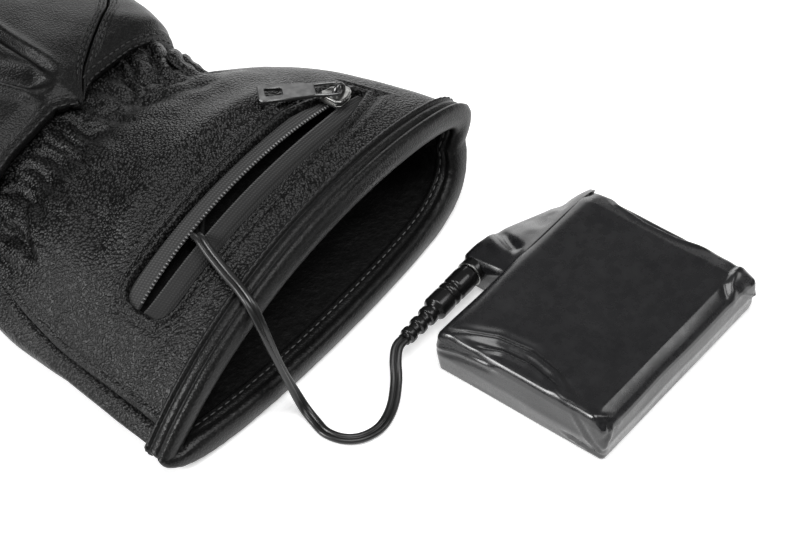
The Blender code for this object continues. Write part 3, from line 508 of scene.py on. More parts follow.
def fold(points, line, width, depth, shoulder, top_only):
    """How far a crease (depth below 0 is a ridge) moves the leather out, seen from above."""
    signed, share = line_distance(points, line)
    width = width * MM
    fade = np.clip(share / FOLD_FADE, 0, 1) * np.clip((1 - share) / FOLD_FADE, 0, 1)
    outside = np.exp(-(signed / width) ** 2)
    bulge = np.exp(-((signed - 1.7 * width) / (1.3 * width)) ** 2)
    upper = np.clip(points[..., 2] / top_only - 0.5, 0, 1)
    return (-depth * outside + shoulder * bulge) * MM * fade * upper


def folds(points, table, top_only=0.008):
    """What all creases of a table add up to, above the height top_only in metres."""
    lift = np.zeros(points.shape[:-1])
    for line, width, depth, shoulder in table:
        lift += fold(points, line, width, depth, shoulder, top_only)
    return lift


# ---- mesh tools ----

def make_object(name, mesh, material, smooth=True):
    piece = bpy.data.objects.new(name, mesh)
    scene.collection.objects.link(piece)
    mesh.materials.append(material)
    if smooth:
        mesh.polygons.foreach_set("use_smooth", [True] * len(mesh.polygons))
    return piece


def dress(piece, node=None, body="glove"):
    """Say which body a piece rides on, and hide the solid that it stands for."""
    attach(piece, body)
    if node:
        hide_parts(node)


def faces_mesh(name, points, faces, uvs):
    """A mesh from arrays of points and faces, with a surface map in metres."""
    mesh = bpy.data.meshes.new(name)
    mesh.from_pydata(points.reshape(-1, 3).tolist(), [], faces.tolist())
    layer = mesh.uv_layers.new(name="surface")
    layer.data.foreach_set("uv", uvs.reshape(-1, 2)[faces.reshape(-1)].ravel())
    return mesh


def grid_faces(rows, columns, closed):
    i, j = np.meshgrid(np.arange(rows - 1), np.arange(columns if closed else columns - 1),
                       indexing="ij")
    k = (j + 1) % columns
    return np.stack([i * columns + j, i * columns + k, (i + 1) * columns + k,
                     (i + 1) * columns + j], axis=-1)


def shell(name, outer, inner, material, closed=False, keep=None):
    """A wall between two grids with every rim closed; keep says which cells are there."""
    rows, columns = outer.shape[:2]
    cells = grid_faces(rows, columns, closed)
    if keep is None:
        keep = np.ones(cells.shape[:2], bool)
    count = rows * columns
    kept = cells[keep]
    faces = [kept[:, ::-1], kept + count]
    padded = np.zeros((keep.shape[0] + 2, keep.shape[1] + 2), bool)
    padded[1:-1, 1:-1] = keep
    if closed:
        padded[1:-1, 0] = keep[:, -1]
        padded[1:-1, -1] = keep[:, 0]
    centre = padded[1:-1, 1:-1]
    for a, b, neighbour in ((0, 1, padded[:-2, 1:-1]), (1, 2, padded[1:-1, 2:]),
                            (2, 3, padded[2:, 1:-1]), (3, 0, padded[1:-1, :-2])):
        rim = cells[centre & ~neighbour]
        faces.append(np.stack([rim[:, a], rim[:, b], rim[:, b] + count, rim[:, a] + count], -1))
    faces = np.concatenate(faces)
    points = np.concatenate([outer.reshape(-1, 3), inner.reshape(-1, 3)])
    used = np.unique(faces)
    renumber = np.zeros(len(points), int)
    renumber[used] = np.arange(len(used))
    along = np.concatenate([np.zeros((1, columns)),
                            np.cumsum(np.linalg.norm(np.diff(outer, axis=0), axis=-1), 0)])
    around = np.concatenate([np.zeros((rows, 1)),
                             np.cumsum(np.linalg.norm(np.diff(outer, axis=1), axis=-1), 1)], 1)
    uvs = np.tile(np.stack([around, along], -1).reshape(-1, 2), (2, 1))
    mesh = faces_mesh(name, points[used], renumber[faces], uvs[used])
    turn_outwards(mesh)
    return make_object(name, mesh, material)


def turn_outwards(mesh):
    shape = bmesh.new()
    shape.from_mesh(mesh)
    if shape.calc_volume(signed=True) < 0:
        bmesh.ops.reverse_faces(shape, faces=shape.faces)
        shape.to_mesh(mesh)
    shape.free()


# Points closer together than this are one point
MERGE_DISTANCE = 0.001 * MM


def tidy(mesh):
    """Merge doubled points and turn the faces out."""
    shape = bmesh.new()
    shape.from_mesh(mesh)
    bmesh.ops.remove_doubles(shape, verts=shape.verts, dist=MERGE_DISTANCE)
    bmesh.ops.recalc_face_normals(shape, faces=shape.faces)
    if shape.calc_volume(signed=True) < 0:
        bmesh.ops.reverse_faces(shape, faces=shape.faces)
    shape.to_mesh(mesh)
    shape.free()


def tube_mesh(name, rings, caps=True):
    """A closed tube through rings of equal size."""
    rings = np.array(rings)
    rows, columns = rings.shape[:2]
    faces = grid_faces(rows, columns, True).reshape(-1, 4).tolist()
    points = rings.reshape(-1, 3).tolist()
    if caps:
        for first, ring in ((0, rings[0]), ((rows - 1) * columns, rings[-1])):
            points.append(ring.mean(0).tolist())
            middle = len(points) - 1
            faces += [(middle, first + j, first + (j + 1) % columns) for j in range(columns)]
    mesh = bpy.data.meshes.new(name)
    mesh.from_pydata(points, [], faces)
    tidy(mesh)
    return mesh


def smooth_route(points, spacing):
    """Evenly spaced points on a smooth curve through the route's own points."""
    points = [Vector(point) for point in points]
    ends = [2 * points[0] - points[1]] + points + [2 * points[-1] - points[-2]]
    fine = []
    for a, b, c, d in zip(ends, ends[1:], ends[2:], ends[3:]):
        for i in range(20):
            fine.append(curve_point(a, b, c, d, i / 20))
    fine.append(points[-1])
    fine = np.array(fine)
    travelled = path_lengths(fine)
    count = max(2, round(travelled[-1] / spacing))
    wanted = np.linspace(0, travelled[-1], count + 1)
    return sampled(fine, travelled, wanted)


def repeat_tree(name):
    """Puts one small solid on every point, turned by the point's own directions."""
    tree = bpy.data.node_groups.new(name, "GeometryNodeTree")
    tree.interface.new_socket("Geometry", in_out="INPUT", socket_type="NodeSocketGeometry")
    for socket in ("Length", "Width", "Height"):
        tree.interface.new_socket(socket, in_out="INPUT", socket_type="NodeSocketFloat")
    tree.interface.new_socket("Finish", in_out="INPUT", socket_type="NodeSocketMaterial")
    tree.interface.new_socket("Geometry", in_out="OUTPUT", socket_type="NodeSocketGeometry")
    nodes, links = tree.nodes, tree.links
    start, end = nodes.new("NodeGroupInput"), nodes.new("NodeGroupOutput")
    size = nodes.new("ShaderNodeCombineXYZ")
    for socket, key in (("X", "Length"), ("Y", "Width"), ("Z", "Height")):
        links.new(start.outputs[key], size.inputs[socket])
    unit = nodes.new("GeometryNodeMeshUVSphere")
    unit.inputs["Segments"].default_value = 8
    unit.inputs["Rings"].default_value = 5
    unit.inputs["Radius"].default_value = 0.5
    turns = []
    for key, axis, pivot in (("up", "Z", "AUTO"), ("ahead", "X", "Z")):
        attribute = nodes.new("GeometryNodeInputNamedAttribute")
        attribute.data_type = "FLOAT_VECTOR"
        attribute.inputs["Name"].default_value = key
        align = nodes.new("FunctionNodeAlignRotationToVector")
        align.axis = axis
        align.pivot_axis = pivot
        links.new(attribute.outputs["Attribute"], align.inputs["Vector"])
        if turns:
            links.new(turns[-1].outputs["Rotation"], align.inputs["Rotation"])
        turns.append(align)
    place = nodes.new("GeometryNodeInstanceOnPoints")
    links.new(start.outputs["Geometry"], place.inputs["Points"])
    links.new(unit.outputs["Mesh"], place.inputs["Instance"])
    links.new(turns[-1].outputs["Rotation"], place.inputs["Rotation"])
    links.new(size.outputs["Vector"], place.inputs["Scale"])
    realize = nodes.new("GeometryNodeRealizeInstances")
    links.new(place.outputs["Instances"], realize.inputs["Geometry"])
    smooth = nodes.new("GeometryNodeSetShadeSmooth")
    smooth.inputs["Shade Smooth"].default_value = True
    links.new(realize.outputs["Geometry"], smooth.inputs["Geometry"])
    paint = nodes.new("GeometryNodeSetMaterial")
    links.new(smooth.outputs["Geometry"], paint.inputs["Geometry"])
    links.new(start.outputs["Finish"], paint.inputs["Material"])
    links.new(paint.outputs["Geometry"], end.inputs["Geometry"])
    return tree


STITCH_TREE = repeat_tree("row of stitches")


def repeated(name, places, aheads, ups, size, finish):
    """A small solid of one size on every place, as one plain mesh."""
    mesh = bpy.data.meshes.new(name)
    mesh.from_pydata(np.asarray(places).tolist(), [], [])
    for key, values in (("ahead", aheads), ("up", ups)):
        attribute = mesh.attributes.new(key, "FLOAT_VECTOR", "POINT")
        attribute.data.foreach_set("vector", np.asarray(values, float).ravel())
    seed = bpy.data.objects.new(name + " places", mesh)
    scene.collection.objects.link(seed)
    step = seed.modifiers.new("repeat", "NODES")
    step.node_group = STITCH_TREE
    sockets = {item.name: item.identifier for item in STITCH_TREE.interface.items_tree
               if item.item_type == "SOCKET" and item.in_out == "INPUT"}
    for key, value in zip(("Length", "Width", "Height"), size):
        step[sockets[key]] = value
    step[sockets["Finish"]] = finish
    graph = bpy.context.evaluated_depsgraph_get()
    made = bpy.data.meshes.new_from_object(seed.evaluated_get(graph), depsgraph=graph)
    bpy.data.objects.remove(seed)
    made.name = name
    piece = bpy.data.objects.new(name, made)
    scene.collection.objects.link(piece)
    return piece


def path_frames(points, ups):
    """Unit directions along a path and up from the surface under it."""
    ahead = unit(np.gradient(points, axis=0))
    ups = np.asarray(ups, float)
    return ahead, unit(ups - (ups * ahead).sum(1, keepdims=True) * ahead)


def even_path(points, ups, pitch):
    """The path's points and up directions at an even pitch."""
    travelled = path_lengths(points)
    count = max(1, int(travelled[-1] / pitch))
    wanted = (np.arange(count) + 0.5) * travelled[-1] / count
    return sampled(points, travelled, wanted), sampled(ups, travelled, wanted)


def stitches(name, points, ups, pitch, size, finish):
    """A row of stitches at an even pitch; pitch and size are in mm."""
    at, up = even_path(np.asarray(points), np.asarray(ups), pitch * MM)
    ahead, up = path_frames(at, up)
    return repeated(name, at, ahead, up, [value * MM for value in size], finish)


# ---- the lead and its plug ----

PLUG_START = Vector((3.0, -60.0, 7.0)) * MM
PLUG_TURN = 2.0 * DEGREE
PLUG_AXIS = Vector((math.cos(PLUG_TURN), math.sin(PLUG_TURN), 0))
RELIEF_LENGTH = 13 * MM
BARREL_LENGTH = 17 * MM
WIRE_DIAMETER = 1.7 * MM
LEAD_WIDTH = 3.3 * MM

LEAD_ROUTE = [
    (-2.0, 3.0, 33.4), (-9.0, -1.0, 33.2), (-16.0, -5.5, 32.6), (-20.5, -9.2, 32.8),
    (-22.2, -10.4, 34.8), (-23.2, -11.2, 37.0), (-24.6, -13.8, 38.3), (-26.3, -18.8, 37.2),
    (-28.2, -25.5, 35.9),
    (-29.9, -31.5, 35.3), (-31.6, -36.8, 33.8), (-32.5, -40.6, 29.6), (-32.3, -43.6, 23.0),
    (-31.0, -46.2, 14.6), (-29.6, -48.6, 7.4), (-29.4, -51.8, 2.7), (-30.4, -56.2, 1.2),
    (-31.6, -61.0, 1.05), (-30.4, -66.0, 1.05), (-26.8, -69.6, 1.05), (-21.0, -71.0, 1.05),
    (-14.0, -69.2, 1.3), (-7.4, -65.4, 3.0), (-3.2, -61.9, 5.6),
]


def make_lead():
    """The flat twin lead: two round conductors side by side, lying on their flat."""
    route = [Vector(point) * MM for point in LEAD_ROUTE]
    route += [PLUG_START - PLUG_AXIS * 2.8 * MM, PLUG_START + PLUG_AXIS * 1.5 * MM]
    path = smooth_route(route, 0.9 * MM)
    ahead = unit(np.gradient(path, axis=0))
    up = unit(np.array([0, 0, 1.0]) - ahead[:, 2:3] * ahead)
    for _ in range(12):
        up[1:-1] = (up[:-2] + up[1:-1] * 2 + up[2:]) / 4
    ahead, up = path_frames(path, up)
    side = np.cross(ahead, up)
    spacing = LEAD_WIDTH - WIRE_DIAMETER
    radius = WIRE_DIAMETER / 2
    section = []
    for centre, first in ((spacing / 2, -156), (-spacing / 2, 24)):
        for step in range(15):
            angle = (first + step * 312 / 14) * DEGREE
            section.append((centre + radius * math.cos(angle), radius * math.sin(angle)))
    rings = [[point + side[i] * a + up[i] * b for a, b in section]
             for i, point in enumerate(path)]
    lead = make_object("power_lead", tube_mesh("power_lead", rings), CABLE_FINISH)
    dress(lead, "power_cord")


def lathe(name, profile, steps, start, axis, finish):
    """Turn a (radius, distance) profile about an axis."""
    turn = axis.to_track_quat("Z", "Y").to_matrix()
    rings = []
    for radius, distance in profile:
        rings.append([start + turn @ Vector((radius * math.cos(2 * math.pi * k / steps),
                                             radius * math.sin(2 * math.pi * k / steps),
                                             distance)) for k in range(steps)])
    return make_object(name, tube_mesh(name, rings), finish)


def in_metres(profile):
    return [(radius * MM, distance * MM) for radius, distance in profile]


def rounded(profile, radius):
    """Round a (radius, distance) profile's corners with small arcs."""
    points = [Vector(point) for point in profile]
    found = [points[0]]
    for before, here, after in zip(points, points[1:], points[2:]):
        reach = min(radius, (before - here).length * 0.45, (after - here).length * 0.45)
        a = here + (before - here).normalized() * reach
        b = here + (after - here).normalized() * reach
        for i in range(4):
            t = i / 3
            found.append((1 - t) ** 2 * a + 2 * t * (1 - t) * here + t * t * b)
    return found + [points[-1]]


def make_plug():
    """The moulded plug: ribbed strain relief, grip rings and a smooth barrel."""
    barrel, relief = 3.6, 2.8
    profile = [(0.01, 0.0), (1.9, 0.0)]
    pitch = 13 / 3
    for rib in range(3):
        size = relief * mix(0.84, 1.0, rib / 2)
        low = rib * pitch
        profile += [(size * 0.72, low + 0.1), (size * 0.72, low + 1.0), (size, low + 1.35),
                    (size, low + 3.2), (size * 0.72, low + 3.55)]
    profile += [(relief * 0.8, 13.0), (barrel, 14.0)]
    for groove in (13 + 17 * 0.40, 13 + 17 * 0.55):
        profile += [(barrel, groove - 0.8), (barrel * 0.86, groove - 0.25),
                    (barrel * 0.86, groove + 0.25), (barrel, groove + 0.8)]
    profile += [(barrel * 1.02, 27.5), (barrel * 0.94, 29.95), (0.01, 30.0)]
    plug = lathe("dc_plug_body", rounded(in_metres(profile), 0.35 * MM), 40, PLUG_START,
                 PLUG_AXIS, PLUG_FINISH)
    dress(plug, "dc_plug")
    return plug


def make_socket():
    """The socket's collar with a bright ring round its mouth."""
    start = PLUG_START + PLUG_AXIS * (RELIEF_LENGTH + BARREL_LENGTH + GAP)
    profile = [(0.01, 0.6), (3.0, 0.6), (3.1, 0.25), (3.5, 0.0), (3.75, 0.5), (3.75, 6.4),
               (3.5, 7.0), (0.01, 7.0)]
    socket = lathe("socket_collar", rounded(in_metres(profile), 0.3 * MM), 40, start, PLUG_AXIS,
                   PLUG_FINISH)
    ring = [(3.15, 0.05), (3.3, -0.12), (3.65, -0.12), (3.8, 0.05), (3.65, 0.35), (3.3, 0.35),
            (3.15, 0.05)]
    turn = PLUG_AXIS.to_track_quat("Z", "Y").to_matrix()
    rings = [[start + turn @ Vector((radius * math.cos(a), radius * math.sin(a), distance))
              for radius, distance in in_metres(ring[:-1])]
             for a in full_turn(40)]
    rings.append(rings[0])
    bright = make_object("socket_ring", tube_mesh("socket_ring", rings, caps=False), SLIDER_FINISH)
    dress(socket, "battery_socket")
    dress(bright)


# ---- battery pack in its wrap ----

PACK_LOW = np.array([4.5, -124.5, 0.0]) * MM
PACK_SIZE = np.array([73, 56, 15]) * MM


def wrapped_block(low, high, corner, levels):
    """A block's rings from floor to top; levels are (height share, draw in, mm)."""
    heights = np.array([level[0] for level in levels])
    draws = np.array([level[1] for level in levels]) * MM
    rings = []
    per_side, per_corner = 64, 9
    for height in np.concatenate([np.linspace(0, 0.8, 22), np.linspace(0.82, 1, 12)]):
        draw = np.interp(height, heights, draws)
        z = mix(low[2], high[2], height)
        corners = ((high[0], high[1], 0, -1, -1), (low[0], high[1], 90, 1, -1),
                   (low[0], low[1], 180, 1, 1), (high[0], low[1], 270, -1, 1))
        arcs = []
        for x, y, first, inward_x, inward_y in corners:
            angles = (first + np.linspace(0, 90, per_corner)) * DEGREE
            reach = corner - draw
            arcs.append(np.stack([x + inward_x * corner + reach * np.cos(angles),
                                  y + inward_y * corner + reach * np.sin(angles),
                                  np.full(per_corner, z)], -1))
        ring = []
        for arc, following in zip(arcs, arcs[1:] + arcs[:1]):
            ring.append(arc)
            share = (np.arange(1, per_side) / per_side)[:, None]
            ring.append(arc[-1] * (1 - share) + following[0] * share)
        rings.append(np.concatenate(ring))
    edge = rings[-1]
    centre = edge.mean(0)
    for share in np.concatenate([np.linspace(0.985, 0.6, 44), np.linspace(0.57, 0.02, 22)]):
        rings.append(centre + (edge - centre) * share)
    floor_centre = rings[0].mean(0)
    bottom = [floor_centre + (rings[0] - floor_centre) * share for share in (0.1, 0.5, 0.9)]
    return np.array(bottom + rings)


# Where the film bends, seen from above, in mm: points, half width, depth, shoulder beside it
FILM_FOLDS = [
    ([(5.2, -71), (8.5, -76), (12.4, -84), (13.6, -93.4), (11.8, -103), (6.6, -113)],
     1.3, 0.8, 0.55),
    ([(6.0, -80), (9.3, -88), (9.9, -96), (8.0, -105), (5.2, -111)], 0.9, 0.7, 0.4),
    ([(78, -72.5), (74.8, -79), (73.3, -89), (73.9, -100), (77.8, -112)], 0.8, 0.6, 0.5),
    ([(64, -125), (68, -121), (73, -119.5), (78, -119)], 1.0, 0.6, 0.5),
    ([(12, -125), (8, -121.5), (4.4, -119)], 0.8, 0.45, 0.3),
]
# On the side towards the glove's thumb: the same, along the pack and up it
SIDE_FOLDS = [
    ([(-68, 8.6), (-76, 11.2), (-90, 13.0)], 0.8, 0.6, 0.4),
    ([(-125, 2), (-119, 7), (-113, 13.6)], 0.6, 0.4, 0.3),
    ([(-125, 1.0), (-117, 2.2), (-110, 3.6)], 0.5, 0.4, 0.3),
]
# On the side away from the glove: the same, across the pack and up it
FRONT_FOLDS = [
    ([(4.0, 1), (5.8, 8), (9.5, 13.5)], 0.6, 0.5, 0.35),
    ([(78, 4), (73, 8.5), (69, 12)], 0.7, 0.5, 0.35),
]


def film_wrinkles(points, low, high):
    """How far the shrunk film stands out or in over the pack."""
    top = np.clip((points[..., 2] - 9 * MM) / (1.5 * MM), 0, 1)
    lift = folds(points, FILM_FOLDS) * top
    near_side = np.clip(1 - (points[..., 0] - low[0] - 1 * MM) / (2 * MM), 0, 1)
    lift += folds(points[..., [1, 2, 0]], SIDE_FOLDS, 0.001) * near_side
    front = np.clip(1 - (points[..., 1] - low[1] - 1 * MM) / (2 * MM), 0, 1)
    beyond = points[..., [0, 2, 1]] + np.array([0, 0, 1.0])
    lift += folds(beyond, FRONT_FOLDS, 0.001) * front
    stretched = points * np.array([0.5, 0.5, 1.6])
    edge = np.maximum(near_side, front)
    lift += soft_field(stretched, 9 * MM, 81) * mix(0.015, 0.05, edge) * MM
    lift += soft_field(points, 30 * MM, 82) * 0.12 * MM
    floor = np.clip(points[..., 2] / (2 * MM), 0, 1)
    return lift * floor


def make_battery():
    low, high = PACK_LOW, PACK_LOW + PACK_SIZE
    levels = [(0.0, 1.6), (0.03, 1.1), (0.42, 0.1), (0.48, 0.0), (0.54, 0.1), (0.86, 0.35),
              (0.94, 0.7), (0.98, 1.2), (1.0, 1.7)]
    rings = wrapped_block(low, high, 2.4 * MM, levels)
    drop = np.zeros(rings.shape[:2])
    for distance, reach, amount, power in (
            (rings[..., 1] - low[1], 5.0, 3.2, 1.2), (high[0] - rings[..., 0], 7.0, 2.6, 1.05),
            (rings[..., 0] - low[0], 2.5, 0.7, 2), (high[1] - rings[..., 1], 5.0, 1.5, 2)):
        drop += amount * MM * np.clip(1 - distance / (reach * MM), 0, 1) ** power
    rings[..., 2] -= np.minimum(drop, 4.2 * MM) * (rings[..., 2] / high[2]) ** 3
    normals = grid_normals(rings, closed=True)
    rings[4:-1] += (normals * film_wrinkles(rings, low, high)[..., None])[4:-1]
    pack = make_object("battery_wrap", tube_mesh("battery_wrap", rings), FILM_FINISH)
    dress(pack, "battery_pack")


# The film over the socket's end, in mm: place across, outer edge, its height, inner height
COVER_ROWS = np.array([
    (35.2, -55.4, 9.8, 11.4), (36.4, -54.8, 10.8, 12.4), (41.0, -54.9, 11.0, 13.3),
    (45.0, -55.4, 10.6, 13.8), (49.0, -56.0, 9.9, 13.9), (53.0, -56.7, 9.2, 13.9),
    (57.0, -57.8, 8.8, 13.9), (62.0, -59.9, 8.9, 13.9), (66.0, -62.4, 9.5, 13.8),
    (70.0, -65.0, 10.7, 13.6), (74.0, -66.9, 11.5, 13.0), (77.0, -67.9, 11.2, 11.9),
])
COVER_FOLDS = [
    ([(43, -69), (46, -63), (50.5, -56)], 1.8, 0.9, 0.5),
    ([(55, -69), (58, -64), (60, -59)], 2.2, 0.4, 0.3),
    ([(64, -69), (67, -65.5), (70, -64)], 1.6, 0.4, 0.3),
]


def make_cover():
    """The film drawn over the socket's end, sloping from the pack's top edge."""
    wall = -68.3
    across = np.concatenate([[35.2, 35.5], np.linspace(35.9, 77.0, 86)])
    outer, height, inner = smooth_columns(COVER_ROWS, across)
    rings = []
    for x, y, z, top in zip(across, outer, height, inner):
        end = max(0.0, 1 - (x - 35.2) / 1.6) ** 2
        section = [(wall, 0.3), (y - 0.4, 0.3), (y + 0.1, 1.6), (y, z * 0.55), (y - 0.2, z - 1.2),
                   (y - 1.0, z), (mix(y, wall, 0.35), mix(z, top, 0.28)),
                   (mix(y, wall, 0.7), mix(z, top, 0.66)), (wall - 0.3, top),
                   (wall - 1.9, top + 0.62), (wall - 1.7, top + 0.1), (wall - 0.2, top - 1.6),
                   (wall, top * 0.5)]
        section = np.array(section)
        middle = section.mean(0)
        section = middle + (section - middle) * (1 - 0.16 * end)
        count = len(section)
        fine = np.arange(0, count, 0.2)
        looped = np.concatenate([section, section[:1]])
        ring = sampled(looped, np.arange(count + 1), fine)
        for _ in range(3):
            ring = (np.roll(ring, 1, 0) + 2 * ring + np.roll(ring, -1, 0)) / 4
        rings.append(np.column_stack([np.full(len(ring), x), ring]) * MM)
    rings = np.array(rings)
    normals = grid_normals(rings, closed=True)
    outwards = np.sign((normals * (rings - rings.mean(1, keepdims=True))).sum(-1).mean())
    lift = folds(rings, COVER_FOLDS) + 0.08 * MM * soft_field(rings, 12 * MM, 83)
    open_side = np.clip((rings[..., 1] - (wall - 0.4) * MM) / (2 * MM), 0, 1)
    open_side = open_side * np.clip(rings[..., 2] / (2 * MM), 0, 1)
    rings[2:-1] += (outwards * normals * (lift * open_side)[..., None])[2:-1]
    cover = make_object("socket_wrap", tube_mesh("socket_wrap", rings), FILM_FINISH)
    dress(cover, "socket_cover")


# ---- cuff ----

def lines_between(stops, step, close=()):
    """Values through the stops at about one step, closer together round the close ones."""
    values = [np.linspace(a, b, max(2, int(abs(b - a) / step) + 1))
              for a, b in zip(stops, stops[1:])]
    for centre, reach, count in close:
        values.append(centre + reach * np.linspace(-1, 1, count))
    values = np.unique(np.round(np.concatenate(values), 6))
    keep = [values[0]]
    for value in values[1:]:
        exact = any(abs(value - round(stop, 6)) < 1e-6 for stop in stops)
        if exact and abs(value - keep[-1]) < step * 0.08 and keep[-1] not in stops:
            keep[-1] = value
        elif exact or value - keep[-1] > step * 0.08:
            keep.append(value)
    return np.array([v for v in keep if stops[0] - 1e-6 <= v <= stops[-1] + 1e-6])


# How far the upper leather lies over the side seams
OVERLAP = 1.3 * DEGREE
# How far the cuff's leather goes on inside the hand, as a share of the cuff's length
WRIST_TUCK = 0.085
WINDOW = (WINDOW_START / CUFF_LENGTH, (WINDOW_START + WINDOW_WIDTH) / CUFF_LENGTH)


# Creases of the cuff seen from above, in mm: points, half width, depth, shoulder beside it
CUFF_FOLDS = [
    ([(34, 30), (29.1, 32.9), (25.2, 35.1), (20.4, 36.5), (16, 38.1), (11.8, 40), (7.9, 41),
      (5.3, 41.6)], 1.5, 1.7, 0.7),
    ([(28, 24), (22.9, 27.5), (18.2, 30.7), (14.4, 32.9), (11, 35.5), (7.7, 38.1), (4.9, 40.4)],
     1.4, 1.0, -0.5),
    ([(19, 59), (17.1, 51.5), (14.3, 46.8), (12.6, 42.2), (12.2, 40)], 0.9, 1.9, 0.4),
    ([(23, 59), (20.9, 50.8), (17.6, 46.7), (16.1, 43.1), (16.2, 40.3)], 0.8, 1.6, 0.4),
    ([(30.5, 60), (28.5, 52), (25.2, 47.1), (23.2, 42.8), (22.6, 39.3)], 1.0, 2.1, 0.4),
    ([(35, 60), (33.2, 51.3), (29.8, 47.2), (27, 42.5), (25.9, 39.7)], 0.9, 1.7, 0.4),
    ([(38.5, 60), (36.6, 50.2), (34, 46.5), (31.8, 42.3), (31.3, 38.8)], 0.9, 1.8, 0.4),
    ([(41, 58), (38.9, 48.2), (36.3, 44.5), (35.1, 40.4)], 0.8, 1.5, 0.3),
    ([(30, 74), (31, 60), (32, 50), (34, 36)], 8.0, -4.2, 0.0),
    ([(-6.8, 44.4), (-5.2, 42.3), (-4, 40), (-3, 38)], 1.5, -0.9, 0.0),
    ([(-7.4, 44.9), (-5.6, 45.2), (-2.9, 44), (-1.6, 41.2), (-2.2, 38.2)], 0.7, 1.1, 0.2),
    ([(-7.6, 44.3), (-7.8, 42), (-7, 39.6), (-5, 37.6), (-2.8, 37.3)], 0.7, 1.1, 0.2),
    ([(-7.8, 50.5), (-8, 47.3), (-8.4, 43.9), (-8.9, 40.6), (-9.4, 37)], 0.9, 1.4, 0.4),
    ([(-3.2, 45.5), (-2.2, 44.5), (0, 42.4), (2.9, 41.3), (5.1, 40.6)], 0.8, 1.1, 0.2),
    ([(-16.4, 49.3), (-17.8, 45.8), (-17.9, 42.8), (-16.5, 40.3), (-14.9, 39.6)], 0.9, 1.1, 0.3),
    ([(-11.7, 49.2), (-12.7, 45.3), (-13.9, 41.6), (-15.1, 37.9), (-17, 34)], 0.9, 1.2, 0.4),
    ([(-23.4, 48.9), (-21.4, 47), (-20.6, 44.1), (-21, 40.7), (-23, 37.4)], 0.9, 1.2, 0.4),
    ([(-19.7, 41.1), (-17.7, 39.2), (-18.1, 35.9), (-19.4, 32.5), (-22.3, 28.4)], 1.0, 1.1, 0.4),
    ([(-24.3, 42.4), (-27, 38.1), (-28.7, 34), (-31.6, 29.5)], 1.1, 1.2, 0.4),
    ([(-29, 48.2), (-26.4, 46.2), (-26.5, 42.4), (-28.5, 37.9), (-31.7, 33.1)], 1.1, 1.4, 0.5),
    ([(-33, 42.1), (-33.2, 38.5), (-35.1, 34.6), (-38.1, 30.3)], 1.0, 1.0, 0.4),
    ([(-36.9, 47.9), (-33.6, 45.5), (-34, 40.3), (-34.9, 35.8)], 1.1, 1.4, 0.5),
    ([(-44.2, 41.6), (-42.9, 37.4), (-44.8, 31.8), (-48.7, 26.4)], 1.3, 1.5, 0.6),
    ([(-38.6, 39.3), (-41.1, 34.3), (-45.3, 29.3), (-49.5, 24.2)], 1.1, 1.2, 0.5),
    ([(-20.6, 33), (-25.5, 25.6), (-30.7, 18.8), (-36.2, 12), (-41, 5)], 4.5, 1.3, 0.0),
    ([(-46, 4), (-32, 8), (-14, 11), (6, 11), (26, 8), (38, 4)], 4.5, -1.0, 0.0),
    ([(-30, 18), (-14, 21), (4, 22), (20, 20), (34, 14)], 5.0, 0.9, 0.0),
    ([(-55, 20), (-52, 8), (-52, -6), (-55, -18)], 5.0, 0.8, 0.0),
]


def gathers(along, angle, points, seed):
    """How far the elastic at the wrist draws the leather in, pleat by pleat."""
    draw = smooth_columns(CUFF.rows, along)[8]
    slack = np.clip(1 + np.sin(angle) / FLAT_FROM, 0, 1)
    wander = soft_field(points, 26 * MM, seed) * 1.1
    count = 2 * GATHERS
    phase = count * angle + wander * 1.4
    finer = 1.9 * count * angle + 2.2 * soft_field(points, 18 * MM, seed + 1)
    first = 1 - np.abs(np.cos(phase / 2)) ** 1.2
    second = 1 - np.abs(np.cos(finer / 2)) ** 0.9
    crown = np.clip(np.sin(angle) * 1.6 - 0.3, 0, 1)
    return GATHER_DEPTH * draw * slack * (0.95 * first + 0.16 * second) * mix(1.0, 0.5, crown)


def cuff_surface(behind, angle, inset):
    return form_points(CUFF, np.asarray(behind) / CUFF_LENGTH, angle, inset)


def narrowed(along, angle):
    """Draw the window's long edges together towards a point at the slider's end."""
    start, end = WINDOW
    half = (end - start) / 2
    middle = (start + end) / 2 - 0.010
    inside = np.clip((angle - WINDOW_LITTLE_END) / (24 * DEGREE), 0, 1) ** 0.85
    outside = np.clip((WINDOW_LITTLE_END - angle) / (14 * DEGREE), 0, 1)
    keep = np.maximum(mix(0.12, 1.0, inside), outside)
    from_end = (WINDOW_THUMB_END - angle) * CUFF_ROUND * MM / (5.5 * MM)
    round_end = np.sqrt(np.clip(1 - np.clip(1 - from_end, 0, 1) ** 2, 0, 1))
    keep *= np.maximum(mix(0.42, 1.0, round_end), np.clip(-from_end / 1.3, 0, 1))
    away = np.abs(along - (start + end) / 2)
    share = np.clip(1 - (away - half) / (2.2 * half), 0, 1)
    drawn = np.sign(along - (start + end) / 2) * np.minimum(away, half) * (1 - keep)
    shift = (middle - (start + end) / 2) * (1 - keep)
    bow = -0.016 * np.sin(math.pi * np.clip((angle - WINDOW_LITTLE_END) /
                                            (WINDOW_THUMB_END - WINDOW_LITTLE_END), 0, 1))
    near = np.clip((along - 0.06) / 0.08, 0, 1)
    return along + (shift - drawn + bow * 0.9) * share * near


